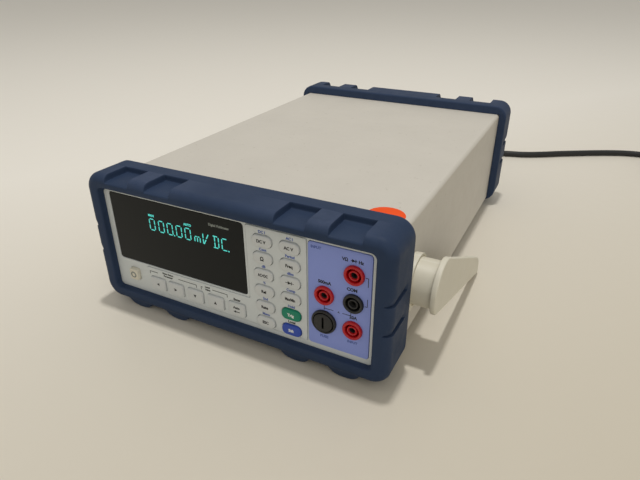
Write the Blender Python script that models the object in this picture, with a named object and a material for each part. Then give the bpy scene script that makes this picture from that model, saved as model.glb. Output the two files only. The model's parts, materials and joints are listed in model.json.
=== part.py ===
"""Bench digital multimeter: a half-rack steel case between two rubber bumpers, with a tilting bail handle.

The origin is on the table, under the middle of the case. +Z is up, and the front panel faces -Y.
Every size is in metres.
"""

import math

import bmesh
import bpy
from mathutils import Matrix, Vector

GAP = 0.0003  # between pieces that touch

# The case
CASE_HALF_W = 0.1065
CASE_LOW = 0.008
CASE_HIGH = 0.096
CASE_MID = (CASE_LOW + CASE_HIGH) / 2
FACE_Y = 0.1675  # the front panel's face is at -FACE_Y, the rear panel's at +FACE_Y
SLEEVE_FRONT = -0.1555
SLEEVE_REAR = 0.1650
COVER_WALL = 0.0012
CHASSIS_WALL = 0.0010
CHASSIS_FLANGE_TOP = 0.030
PANEL_THICK = 0.003
REAR_THICK = 0.002

# The rubber bumpers
BUMPER_HALF_W = 0.1135
BUMPER_LOW = 0.0045
BUMPER_HIGH = 0.104
BUMPER_LIP = 0.005  # how far the lip stands in front of the panel
BUMPER_REACH = 0.028  # how far the sleeve runs back from the panel's face
BUMPER_CORNER = 0.012
BUMPER_ROUND = 0.006
BUMPER_REAR_EDGE = 0.002  # how far the sleeve's rear edge is broken
SLEEVE_CORNER = 0.0006
# The lip's inner wall, as (half width, low z, high z, corner radius, place behind the panel's face)
LIP_WALL = (
    (0.1016, 0.0152, 0.0920, 0.0030, -0.0003),
    (0.1022, 0.0146, 0.0938, 0.0036, -0.0038),
    (0.1034, 0.0134, 0.0950, 0.0048, -0.0050),
)
POCKET_DEPTH = 0.004
POCKET_LONG = 0.016
POCKETS = ((0.0385, 0.0590), (0.0735, 0.0940))
GROOVE_DEPTH = 0.003
GROOVE_HALF = 0.0033
GROOVE_LONG = 0.018
GROOVES = (0.0455, 0.0655)

# The front panel's openings, as (low x, low z, high x, high z)
WINDOW = (-0.0969, 0.0394, 0.0135, 0.0909)
TERMINALS = (0.0587, 0.0189, 0.0988, 0.0906)

# The keys: place on the panel, half width, half height, corner radius
KEY_PROUD = 0.0018
KEY_TRAVEL = 0.0012
KEY_COLUMNS = (0.0276, 0.0466)
KEY_TOP_ROW = 0.0828
KEY_PITCH = 0.0119
KEY_ROWS = (
    ("key_dc_volts", "key_ac_volts"),
    ("key_ohms", "key_frequency"),
    ("key_ac_plus_dc", "key_diode"),
    ("key_relative", "key_max_min"),
    ("key_rate", "key_trigger"),
    ("key_escape", "key_shift"),
)
KEY_HALF_W = 0.0068
KEY_HALF_H = 0.0039
KEY_CORNER = 0.0034
NAV_KEYS = (
    ("key_left", -0.0630),
    ("key_right", -0.0467),
    ("key_down", -0.0297),
    ("key_up", -0.0124),
    ("key_auto", 0.0050),
)
NAV_Z = 0.0260
NAV_HALF_W = 0.0065
NAV_HALF_H = 0.0049
NAV_CORNER = 0.0014
POWER_PLACE = (-0.0848, 0.0286)
POWER_HALF_W = 0.0038
POWER_HALF_H = 0.0044
POWER_PROUD = 0.0028
POWER_TRAVEL = 0.0025

# The input jacks and the current fuse, on a 19.05 mm grid
JACK_GRID = 0.01905
JACK_COLUMN = 0.0882
JACK_LEFT_COLUMN = 0.0694
JACK_TOP_Z = 0.0757
JACK_FLANGE_R = 0.0064
JACK_BODY_R = 0.0055
JACK_BORE_R = 0.0033
FUSE_RIM_R = 0.0082
FUSE_BODY_R = 0.0075

# The handle turns about this line along X
HUB_Y = -0.1212
HUB_Z = 0.0530
FLANGE_R = 0.0178
FLANGE_END = 0.1120
DRUM_R = 0.0155
DRUM_END = 0.1245
ARM_INNER = 0.1248
ARM_OUTER = 0.1287
ARM_SPLAY = 0.0145  # how far an arm leans outwards for each metre of its length
DISC_R = 0.0187
BOLT_R = 0.0030

# The mains inlet on the rear panel, and the lead that is plugged into it
INLET_X = 0.070
INLET_Z = 0.046
DRAWER_Z = 0.0285
SELECTOR_PLACE = (0.0290, 0.0, 0.0330)
SELECTOR_TRAVEL = 0.0040
CORD_R = 0.0035
COIL_CENTRE = (0.3180, 0.3410)
COIL_INNER_R = 0.0295
COIL_OUTER_R = 0.0505
COIL_HIGH = 0.0145
BLADE_APART = 0.0127
BLADE_RISE = 0.0040
BLADE_THICK = 0.0016
BLADE_WIDE = 0.0064
BLADE_LONG = 0.0175
EARTH_R = 0.0024
EARTH_DROP = 0.0112


# ---------------------------------------------------------------- helpers


def clear_scene():
    for old in list(bpy.data.objects):
        bpy.data.objects.remove(old, do_unlink=True)


def material(name, colour, roughness, metallic=0.0):
    """A Principled BSDF material; the same name gives the same material."""
    made = bpy.data.materials.get(name)
    if made is None:
        made = bpy.data.materials.new(name)
        made.use_nodes = True
        shader = made.node_tree.nodes["Principled BSDF"]
        shader.inputs["Base Color"].default_value = (*colour, 1.0)
        shader.inputs["Roughness"].default_value = roughness
        shader.inputs["Metallic"].default_value = metallic
    return made


MATERIALS = {
    "case_paint": ((0.55, 0.53, 0.47), 0.45, 0.0),
    "bumper_rubber": ((0.025, 0.042, 0.105), 0.6, 0.0),
    "panel_plastic": ((0.60, 0.62, 0.60), 0.5, 0.0),
    "window": ((0.012, 0.015, 0.015), 0.12, 0.0),
    "terminal_plate": ((0.23, 0.25, 0.50), 0.45, 0.0),
    "key_grey": ((0.58, 0.60, 0.60), 0.55, 0.0),
    "key_green": ((0.0, 0.22, 0.14), 0.5, 0.0),
    "key_blue": ((0.03, 0.08, 0.45), 0.5, 0.0),
    "handle_cream": ((0.66, 0.62, 0.50), 0.5, 0.0),
    "jack_red": ((0.48, 0.01, 0.02), 0.35, 0.0),
    "black_plastic": ((0.02, 0.02, 0.02), 0.4, 0.0),
    "circuit_board": ((0.02, 0.16, 0.06), 0.45, 0.0),
    "silicone": ((0.35, 0.35, 0.33), 0.7, 0.0),
    "steel": ((0.55, 0.55, 0.56), 0.35, 1.0),
    "copper": ((0.60, 0.22, 0.08), 0.4, 1.0),
    "aluminium": ((0.70, 0.70, 0.72), 0.4, 1.0),
    "fuse_glass": ((0.80, 0.82, 0.80), 0.15, 0.0),
    "cord_black": ((0.015, 0.015, 0.015), 0.5, 0.0),
}


def outward(mesh):
    """Turns every face of a closed body outwards."""
    bmesh.ops.recalc_face_normals(mesh, faces=mesh.faces)
    if mesh.calc_volume(signed=True) < 0:
        bmesh.ops.reverse_faces(mesh, faces=mesh.faces)


def finish(name, mesh, look, place=(0.0, 0.0, 0.0), smooth_below=35.0):
    """Makes an object of a bmesh whose points are given about place."""
    outward(mesh)
    data = bpy.data.meshes.new(name)
    mesh.to_mesh(data)
    mesh.free()
    data.shade_smooth()
    data.set_sharp_from_angle(angle=math.radians(smooth_below))
    made = bpy.data.objects.new(name, data)
    made.location = place
    if look:
        data.materials.append(material(look, *MATERIALS[look]))
    bpy.context.scene.collection.objects.link(made)
    return made


def loft(mesh, rings, closed=False):
    """Skins rings of equal length; an open loft is capped at both ends."""
    made = [[mesh.verts.new(point) for point in ring] for ring in rings]
    pairs = list(zip(made, made[1:], strict=False))
    if closed:
        pairs.append((made[-1], made[0]))
    for first, second in pairs:
        for here in range(len(first)):
            after = (here + 1) % len(first)
            mesh.faces.new((first[here], first[after], second[after], second[here]))
    if not closed:
        mesh.faces.new(made[0])
        mesh.faces.new(made[-1])


def add_box(mesh, low, high):
    """A box between two corners, as a loft of two rectangles along Y."""
    rings = []
    for y in (low[1], high[1]):
        corners = ((low[0], low[2]), (high[0], low[2]), (high[0], high[2]), (low[0], high[2]))
        rings.append([(x, y, z) for x, z in corners])
    loft(mesh, rings)


def box(name, low, high, look):
    mesh = bmesh.new()
    add_box(mesh, low, high)
    return finish(name, mesh, look)


def rounded_rectangle(half_w, half_h, radius, steps=3, centre=(0.0, 0.0)):
    """Points (x, z) of a rounded rectangle, counter-clockwise from the lower right corner."""
    points = []
    for turn, (side_x, side_z) in enumerate(((1, -1), (1, 1), (-1, 1), (-1, -1))):
        for step in range(steps + 1):
            angle = math.radians(-90 + 90 * turn + 90 * step / steps)
            x = side_x * (half_w - radius) + radius * math.cos(angle)
            z = side_z * (half_h - radius) + radius * math.sin(angle)
            points.append((centre[0] + x, centre[1] + z))
    return points


def add_prism(mesh, outline, y_low, y_high):
    loft(mesh, [[(x, y, z) for x, z in outline] for y in (y_low, y_high)])


def frame_outline(frame, grow=0.0, radius=0.002, steps=3):
    """The rounded outline of a (low x, low z, high x, high z) opening, grown by an even margin."""
    low_x, low_z, high_x, high_z = frame
    centre = ((low_x + high_x) / 2, (low_z + high_z) / 2)
    half_w = (high_x - low_x) / 2 + grow
    half_h = (high_z - low_z) / 2 + grow
    return rounded_rectangle(half_w, half_h, radius + grow, steps, centre)


def add_turned(mesh, profile, sides, axis="y", centre=(0.0, 0.0, 0.0)):
    """Turns a closed profile of (radius, along) points; a radius of 0 closes the body on the axis."""
    rings = []
    for side in range(sides):
        angle = 2 * math.pi * side / sides
        rings.append((math.cos(angle), math.sin(angle)))

    def place(radius, along, turn):
        across, up = radius * turn[0], radius * turn[1]
        point = {"y": (across, along, up), "x": (along, across, up), "z": (across, up, along)}[axis]
        return Vector(point) + Vector(centre)

    made = []
    for radius, along in profile:
        if radius == 0.0:
            made.append([mesh.verts.new(place(0.0, along, rings[0]))] * sides)
        else:
            made.append([mesh.verts.new(place(radius, along, turn)) for turn in rings])
    for first, second in zip(made, made[1:] + made[:1], strict=True):
        for here in range(sides):
            after = (here + 1) % sides
            corners = []
            for vert in (first[here], first[after], second[after], second[here]):
                if vert not in corners:
                    corners.append(vert)
            if len(corners) > 2:
                mesh.faces.new(corners)


def turned(name, profile, sides, look, axis="y", centre=(0.0, 0.0, 0.0)):
    mesh = bmesh.new()
    add_turned(mesh, profile, sides, axis)
    return finish(name, mesh, look, centre)


def rod_profile(radius, start, end):
    return [(0.0, start), (radius, start), (radius, end), (0.0, end)]


def boolean(target, tool, operation):
    """Adds an exact Boolean whose tool is left out of the build."""
    tool.hide_render = True
    tool.display_type = "WIRE"
    step = target.modifiers.new(tool.name, "BOOLEAN")
    step.operation = operation
    step.solver = "EXACT"
    step.object = tool


# ---------------------------------------------------------------- bumpers


def bumper_ring(half_w, low, high, corner, y, back, reach):
    """One closed ring of a bumper, as (x, y, z) points.

    back is how far y lies behind the panel's face, and reach (0 to 1) is how much of the pockets,
    grooves and feet this ring takes.
    """
    top_breaks = []
    foot_breaks = []
    for start, end in POCKETS:
        for sign in (1, -1):
            top_breaks += [sign * (start - 0.0005), sign * (start + 0.0003)]
            top_breaks += [sign * (end - 0.0003), sign * (end + 0.0005)]
            foot_breaks += [sign * (start + 0.0005), sign * (start + 0.0022)]
            foot_breaks += [sign * (end - 0.0022), sign * (end - 0.0005)]
    groove_breaks = []
    for middle in GROOVES:
        groove_breaks += [middle - GROOVE_HALF, middle - GROOVE_HALF / 2]
        groove_breaks += [middle + GROOVE_HALF / 2, middle + GROOVE_HALF]

    def pocket(x):
        if back > POCKET_LONG:
            return 0.0
        inside = any(start <= abs(x) <= end for start, end in POCKETS)
        return POCKET_DEPTH * reach if inside else 0.0

    def foot(x):
        rise = max(0.0, min(1.0, (back + 0.0036) / 0.0020, (BUMPER_REACH - 0.002 - back) / 0.004))
        inside = any(start + 0.002 <= abs(x) <= end - 0.002 for start, end in POCKETS)
        return low * rise if inside and reach else 0.0

    def groove(z):
        if back > GROOVE_LONG:
            return 0.0
        near = min(abs(z - middle) for middle in GROOVES) / GROOVE_HALF
        return GROOVE_DEPTH * reach * math.sqrt(max(0.0, 1 - near * near))

    points = []

    def arc(centre_x, centre_z, start):
        for step in range(5):
            angle = math.radians(start + 22.5 * step)
            points.append((centre_x + corner * math.cos(angle), y, centre_z + corner * math.sin(angle)))

    right, left = half_w - corner, corner - half_w
    for x in sorted(foot_breaks):
        points.append((x, y, low - foot(x)))
    arc(right, low + corner, -90)
    for z in sorted(groove_breaks):
        points.append((half_w - groove(z), y, z))
    arc(right, high - corner, 0)
    for x in sorted(top_breaks, reverse=True):
        points.append((x, y, high - pocket(x)))
    arc(left, high - corner, 90)
    for z in sorted(groove_breaks, reverse=True):
        points.append((groove(z) - half_w, y, z))
    arc(left, low + corner, 180)
    return points


def bumper(name, facing):
    """A rubber ring that caps one end of the case; facing is -1 at the front and 1 at the rear."""

    def ring(half_w, low, high, corner, back, reach):
        return bumper_ring(half_w, low, high, corner, facing * (FACE_Y - back), back, reach)

    sleeve = (CASE_HALF_W + GAP, CASE_LOW - GAP, CASE_HIGH + GAP, SLEEVE_CORNER)
    rings = [ring(*sleeve, BUMPER_REACH, 0.0), ring(*sleeve, -GAP, 0.0)]
    rings += [ring(*wall, 0.0) for wall in LIP_WALL]
    for turn in (0, 30, 60, 90):
        inset = BUMPER_ROUND * (1 - math.sin(math.radians(turn)))
        back = -BUMPER_LIP + BUMPER_ROUND * (1 - math.cos(math.radians(turn)))
        outer = (BUMPER_HALF_W - inset, BUMPER_LOW + inset, BUMPER_HIGH - inset, BUMPER_CORNER - inset)
        rings.append(ring(*outer, back, math.sin(math.radians(turn))))
    outer = (BUMPER_HALF_W, BUMPER_LOW, BUMPER_HIGH, BUMPER_CORNER)
    backs = [0.0016, 0.0040, POCKET_LONG, POCKET_LONG + 0.0006, GROOVE_LONG, GROOVE_LONG + 0.0008]
    backs.append(BUMPER_REACH - BUMPER_REAR_EDGE)
    for back in backs:
        rings.append(ring(*outer, back, 1.0))
    edge = BUMPER_REAR_EDGE
    outer = (BUMPER_HALF_W - edge, BUMPER_LOW + edge, BUMPER_HIGH - edge, BUMPER_CORNER - edge)
    rings.append(ring(*outer, BUMPER_REACH, 0.0))
    mesh = bmesh.new()
    loft(mesh, rings, closed=True)
    return finish(name, mesh, "bumper_rubber")


# ---------------------------------------------------------------- the case


def pivot_hole_tool(name, radius):
    """A round cutter through both side walls on the handle's axis."""
    tool = turned(name, rod_profile(radius, -0.1120, 0.1120), 16, None, "x", (0.0, HUB_Y, HUB_Z))
    return tool


def top_cover():
    """The painted cover: the top and both sides, open below."""
    outer = CASE_HALF_W
    inner = CASE_HALF_W - COVER_WALL
    bend = 0.003
    outline = [(-inner, CASE_LOW), (-outer, CASE_LOW)]
    for start, side in ((180, -1), (90, 1)):
        for step in range(5):
            angle = math.radians(start - 22.5 * step)
            x = side * (outer - bend) + bend * math.cos(angle)
            outline.append((x, CASE_HIGH - bend + bend * math.sin(angle)))
    outline += [(outer, CASE_LOW), (inner, CASE_LOW), (inner, CASE_HIGH - COVER_WALL)]
    outline.append((-inner, CASE_HIGH - COVER_WALL))
    mesh = bmesh.new()
    add_prism(mesh, outline, SLEEVE_FRONT, SLEEVE_REAR)
    cover = finish("top_cover", mesh, "case_paint")
    boolean(cover, pivot_hole_tool("pivot_holes", BOLT_R + GAP), "DIFFERENCE")
    return cover


def bottom_chassis():
    """The steel tray: the floor, and two side flanges inside the cover."""
    outer = CASE_HALF_W - COVER_WALL - GAP
    inner = outer - CHASSIS_WALL
    floor = CASE_LOW + CHASSIS_WALL
    outline = [(-outer, CASE_LOW), (outer, CASE_LOW), (outer, CHASSIS_FLANGE_TOP)]
    outline += [(inner, CHASSIS_FLANGE_TOP), (inner, floor), (-inner, floor)]
    outline += [(-inner, CHASSIS_FLANGE_TOP), (-outer, CHASSIS_FLANGE_TOP)]
    mesh = bmesh.new()
    add_prism(mesh, outline, SLEEVE_FRONT, SLEEVE_REAR)
    return finish("bottom_chassis", mesh, "case_paint")


def key_outline(half_w, half_h, corner, grow=0.0, centre=(0.0, 0.0)):
    return rounded_rectangle(half_w + grow, half_h + grow, corner + grow, 3, centre)


def key_places():
    """Yields (name, x, z, half width, half height, corner) of every front key."""
    for row, names in enumerate(KEY_ROWS):
        for column, name in zip(KEY_COLUMNS, names, strict=True):
            yield name, column, KEY_TOP_ROW - KEY_PITCH * row, KEY_HALF_W, KEY_HALF_H, KEY_CORNER
    for name, x in NAV_KEYS:
        yield name, x, NAV_Z, NAV_HALF_W, NAV_HALF_H, NAV_CORNER


def front_panel():
    """The moulded front: a plate with a rim that meets the cover, pierced for window, keys and inputs."""
    rim = 0.0018
    face, plate_back = -FACE_Y, -FACE_Y + PANEL_THICK
    rim_back = SLEEVE_FRONT - GAP
    outer = (CASE_HALF_W - 0.0001, CASE_MID - CASE_LOW - 0.0001, 0.0022)
    inner = (outer[0] - rim, outer[1] - rim, 0.0010)
    mesh = bmesh.new()
    rings = []
    for (half_w, half_h, corner), y in (
        ((outer[0], outer[1], outer[2]), face),
        ((outer[0], outer[1], outer[2]), rim_back),
        (inner, rim_back),
        (inner, plate_back),
    ):
        outline = rounded_rectangle(half_w, half_h, corner, 2, (0.0, CASE_MID))
        rings.append([(x, y, z) for x, z in outline])
    loft(mesh, rings)
    panel = finish("front_panel", mesh, "panel_plastic")
    tool = bmesh.new()
    low, high = face - 0.002, plate_back + 0.002
    add_prism(tool, frame_outline(WINDOW, GAP), low, high)
    add_prism(tool, frame_outline(TERMINALS, GAP), low, high)
    for _, x, z, half_w, half_h, corner in key_places():
        add_prism(tool, key_outline(half_w, half_h, corner, GAP, (x, z)), low, high)
    add_prism(tool, key_outline(POWER_HALF_W, POWER_HALF_H, 0.001, GAP, POWER_PLACE), low, high)
    boolean(panel, finish("front_openings", tool, None), "DIFFERENCE")
    return panel


def front_fittings():
    """The filter window, the display behind it, and the terminal plate."""
    mesh = bmesh.new()
    add_prism(mesh, frame_outline(WINDOW), -FACE_Y + 0.0002, -FACE_Y + 0.0022)
    finish("display_window", mesh, "window")
    low_x, low_z, high_x, high_z = WINDOW
    glass_front = -FACE_Y + 0.0040
    box(
        "display_module",
        (low_x + 0.004, glass_front, low_z + 0.006),
        (high_x - 0.004, glass_front + 0.007, high_z - 0.004),
        "window",
    )
    mesh = bmesh.new()
    add_prism(mesh, frame_outline(TERMINALS), -FACE_Y - 0.0003, -FACE_Y + 0.0027)
    plate = finish("terminal_plate", mesh, "terminal_plate")
    tool = bmesh.new()
    low, high = -FACE_Y - 0.002, -FACE_Y + 0.005
    for x, z in jack_places().values():
        add_turned(tool, rod_profile(JACK_BODY_R + GAP, low, high), 20, "y", (x, 0.0, z))
    x, z = fuse_place()
    add_turned(tool, rod_profile(FUSE_BODY_R + GAP, low, high), 20, "y", (x, 0.0, z))
    boolean(plate, finish("terminal_holes", tool, None), "DIFFERENCE")


def jack_places():
    return {
        "jack_volts": (JACK_COLUMN, JACK_TOP_Z),
        "jack_common": (JACK_COLUMN, JACK_TOP_Z - JACK_GRID),
        "jack_20_amp": (JACK_COLUMN, JACK_TOP_Z - 2 * JACK_GRID),
        "jack_milliamp": (JACK_LEFT_COLUMN, JACK_TOP_Z - JACK_GRID),
    }


def fuse_place():
    return JACK_LEFT_COLUMN, JACK_TOP_Z - 2 * JACK_GRID


def jacks():
    """Four 4 mm input jacks: a flange on the plate, and a blind bore for the test plug."""
    front = -FACE_Y - 0.0022
    seat = -FACE_Y - 0.0003 - GAP
    back, bore_end = -0.1480, -0.1510
    for name, (x, z) in jack_places().items():
        profile = [(0.0, bore_end), (JACK_BORE_R, bore_end), (JACK_BORE_R, front + 0.0012)]
        profile += [(JACK_BORE_R + 0.0018, front), (JACK_FLANGE_R - 0.0006, front)]
        profile += [(JACK_FLANGE_R, front + 0.0006), (JACK_FLANGE_R, seat), (JACK_BODY_R, seat)]
        profile += [(JACK_BODY_R, back), (0.0, back)]
        look = "black_plastic" if name == "jack_common" else "jack_red"
        turned(name, profile, 16, look, "y", (x, 0.0, z))


def current_fuse():
    """The fuse holder, its bayonet cap, and the cartridge fuse that the cap carries."""
    x, z = fuse_place()
    front = -FACE_Y - 0.0022
    seat = -FACE_Y - 0.0003 - GAP
    profile = [(0.0, -0.1195), (0.0050, -0.1195), (0.0050, -0.1560), (0.0067, -0.1560), (0.0067, front)]
    profile += [(FUSE_RIM_R, front), (FUSE_RIM_R, seat), (FUSE_BODY_R, seat), (FUSE_BODY_R, -0.1170)]
    profile.append((0.0, -0.1170))
    turned("fuse_holder", profile, 20, "black_plastic", "y", (x, 0.0, z))
    cap_front = front - 0.0004
    profile = [(0.0, cap_front), (0.0058, cap_front), (0.0064, cap_front + 0.0006), (0.0064, -0.1564)]
    profile.append((0.0, -0.1564))
    cap = turned("fuse_cap", profile, 20, "black_plastic", "y", (x, 0.0, z))
    slot = bmesh.new()
    add_box(slot, (x - 0.0009, cap_front - 0.001, z - 0.0052), (x + 0.0009, cap_front + 0.0024, z + 0.0052))
    boolean(cap, finish("fuse_cap_slot", slot, None), "DIFFERENCE")
    turned("input_fuse", rod_profile(0.00315, -0.1561, -0.1240), 12, "fuse_glass", "y", (x, 0.0, z))


# ---------------------------------------------------------------- keys and power button


def key(name, x, z, half_w, half_h, corner, look):
    """A key with a crowned cap and a wider foot behind the panel, about its own middle."""
    face = -FACE_Y
    crown = 0.0007
    foot = 0.0008
    rings = []
    for grow, y in (
        (-crown, face - KEY_PROUD),
        (0.0, face - KEY_PROUD + crown),
        (0.0, face + PANEL_THICK + GAP),
        (foot, face + PANEL_THICK + GAP),
        (foot, face + PANEL_THICK + GAP + 0.0010),
    ):
        outline = rounded_rectangle(half_w + grow, half_h + grow, corner + grow, 3)
        rings.append([(px, y, pz) for px, pz in outline])
    mesh = bmesh.new()
    loft(mesh, rings)
    return finish(name, mesh, look, (x, 0.0, z))


def keys():
    looks = {"key_trigger": "key_green", "key_shift": "key_blue"}
    for name, x, z, half_w, half_h, corner in key_places():
        key(name, x, z, half_w, half_h, corner, looks.get(name, "key_grey"))


def power_button():
    """The push-push power button, its rod, and the switch that it works."""
    x, z = POWER_PLACE
    face = -FACE_Y
    crown = 0.0006
    rings = []
    for grow, y in (
        (-crown, face - POWER_PROUD),
        (0.0, face - POWER_PROUD + crown),
        (0.0, face + PANEL_THICK + GAP),
        (0.0010, face + PANEL_THICK + GAP),
        (0.0010, face + 0.0048),
    ):
        outline = rounded_rectangle(POWER_HALF_W + grow, POWER_HALF_H + grow, 0.0010 + grow, 2)
        rings.append([(px, y, pz) for px, pz in outline])
    mesh = bmesh.new()
    loft(mesh, rings)
    finish("power_button", mesh, "handle_cream", (x, 0.0, z))
    rod_start, rod_end = face + 0.0048 + GAP, -0.1300
    mesh = bmesh.new()
    add_box(mesh, (-0.0015, rod_start, -0.0015), (0.0015, rod_end, 0.0015))
    finish("switch_rod", mesh, "black_plastic", (x, 0.0, z))
    low = (x - 0.0075, rod_end + POWER_TRAVEL + 0.0005, z - 0.0070)
    box("power_switch", low, (x + 0.0075, low[1] + 0.028, z + 0.0070), "black_plastic")


def boards():
    """The silicone key mat, the key board behind it, and the main board with its big parts."""
    board_low, board_thick = 0.0145, 0.0016
    board_left = 0.0045 - CASE_HALF_W
    mat_front = -FACE_Y + PANEL_THICK + GAP + 0.0010 + KEY_TRAVEL + GAP
    mat_back = mat_front + 0.0012
    mesh = bmesh.new()
    outline = [(-0.0745, 0.0145), (0.0560, 0.0145), (0.0560, 0.0915), (0.0170, 0.0915)]
    outline += [(0.0170, 0.0345), (-0.0745, 0.0345)]
    add_prism(mesh, outline, mat_front, mat_back)
    finish("key_mat", mesh, "silicone")
    mesh = bmesh.new()
    board_front = mat_back + GAP
    add_prism(mesh, outline, board_front, board_front + board_thick)
    finish("key_board", mesh, "circuit_board")
    board_high = board_low + board_thick
    board = box("main_board", (board_left, -0.1120, board_low), (0.0350, 0.1450, board_high), "circuit_board")
    # the relay, the processor and two film capacitors, as (low x, low y, width, depth, height over the board)
    blocks = (
        (-0.0900, -0.0500, 0.0200, 0.0200, 0.0139),
        (-0.0550, -0.0400, 0.0300, 0.0300, 0.0024),
        (0.0050, -0.0900, 0.0200, 0.0110, 0.0109),
        (0.0050, -0.0700, 0.0200, 0.0110, 0.0109),
    )
    parts = bmesh.new()
    for low_x, low_y, wide, deep, high in blocks:
        add_box(parts, (low_x, low_y, board_low + 0.0005), (low_x + wide, low_y + deep, board_high + high))
    boolean(board, finish("board_parts", parts, None), "UNION")
    seat = board_high + GAP
    can_radius, can_top = 0.0110, 0.0500
    can = rod_profile(can_radius, seat, can_top)
    turned("filter_capacitor", can, 16, "black_plastic", "z", (-0.060, 0.110, 0.0))
    heat_sink(seat)


def heat_sink(seat):
    """A comb of upright fins on a base plate, whose section runs along Y."""
    left, right, web_top, top = -0.0300, 0.0100, 0.0190, 0.0460
    fin_thick, fin_count = 0.0020, 5
    pitch = (right - left - fin_thick) / (fin_count - 1)
    section = [(left, seat), (right, seat)]
    for fin in range(fin_count):
        outer = right - pitch * fin
        inner = outer - fin_thick
        if fin:
            section.append((outer, web_top))
        section += [(outer, top), (inner, top)]
        if fin < fin_count - 1:
            section.append((inner, web_top))
    mesh = bmesh.new()
    add_prism(mesh, section, 0.0600, 0.0900)
    finish("heat_sink", mesh, "aluminium")


def transformer():
    """The laminated core, with the winding round its middle leg."""
    x, y, z = 0.070, 0.085, 0.0098
    core_w, core_d, core_h = 0.060, 0.034, 0.050
    leg, window_w, window_h = 0.020, 0.010, 0.030
    mesh = bmesh.new()
    add_box(mesh, (x - core_w / 2, y - core_d / 2, z), (x + core_w / 2, y + core_d / 2, z + core_h))
    core = finish("transformer_core", mesh, "steel")
    tool = bmesh.new()
    for side in (-1, 1):
        middle = x + side * (leg + window_w) / 2
        low = (middle - window_w / 2, y - core_d, z + (core_h - window_h) / 2)
        add_box(tool, low, (middle + window_w / 2, y + core_d, z + (core_h + window_h) / 2))
    boolean(core, finish("core_windows", tool, None), "DIFFERENCE")
    half_in, depth_in = leg / 2 + GAP, core_d / 2 + GAP
    thick = window_w - 2 * GAP - 0.0006
    rings = []
    for grow, level in ((0.0, 0.0), (thick, 0.0), (thick, 1.0), (0.0, 1.0)):
        at = z + (core_h - window_h) / 2 + GAP + level * (window_h - 2 * GAP)
        corners = rounded_rectangle(half_in + grow, depth_in + grow, 0.0005 + grow / 2, 2)
        rings.append([(x + px, y + py, at) for px, py in corners])
    mesh = bmesh.new()
    loft(mesh, rings, closed=True)
    finish("transformer_coil", mesh, "copper")


# ---------------------------------------------------------------- rear


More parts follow.
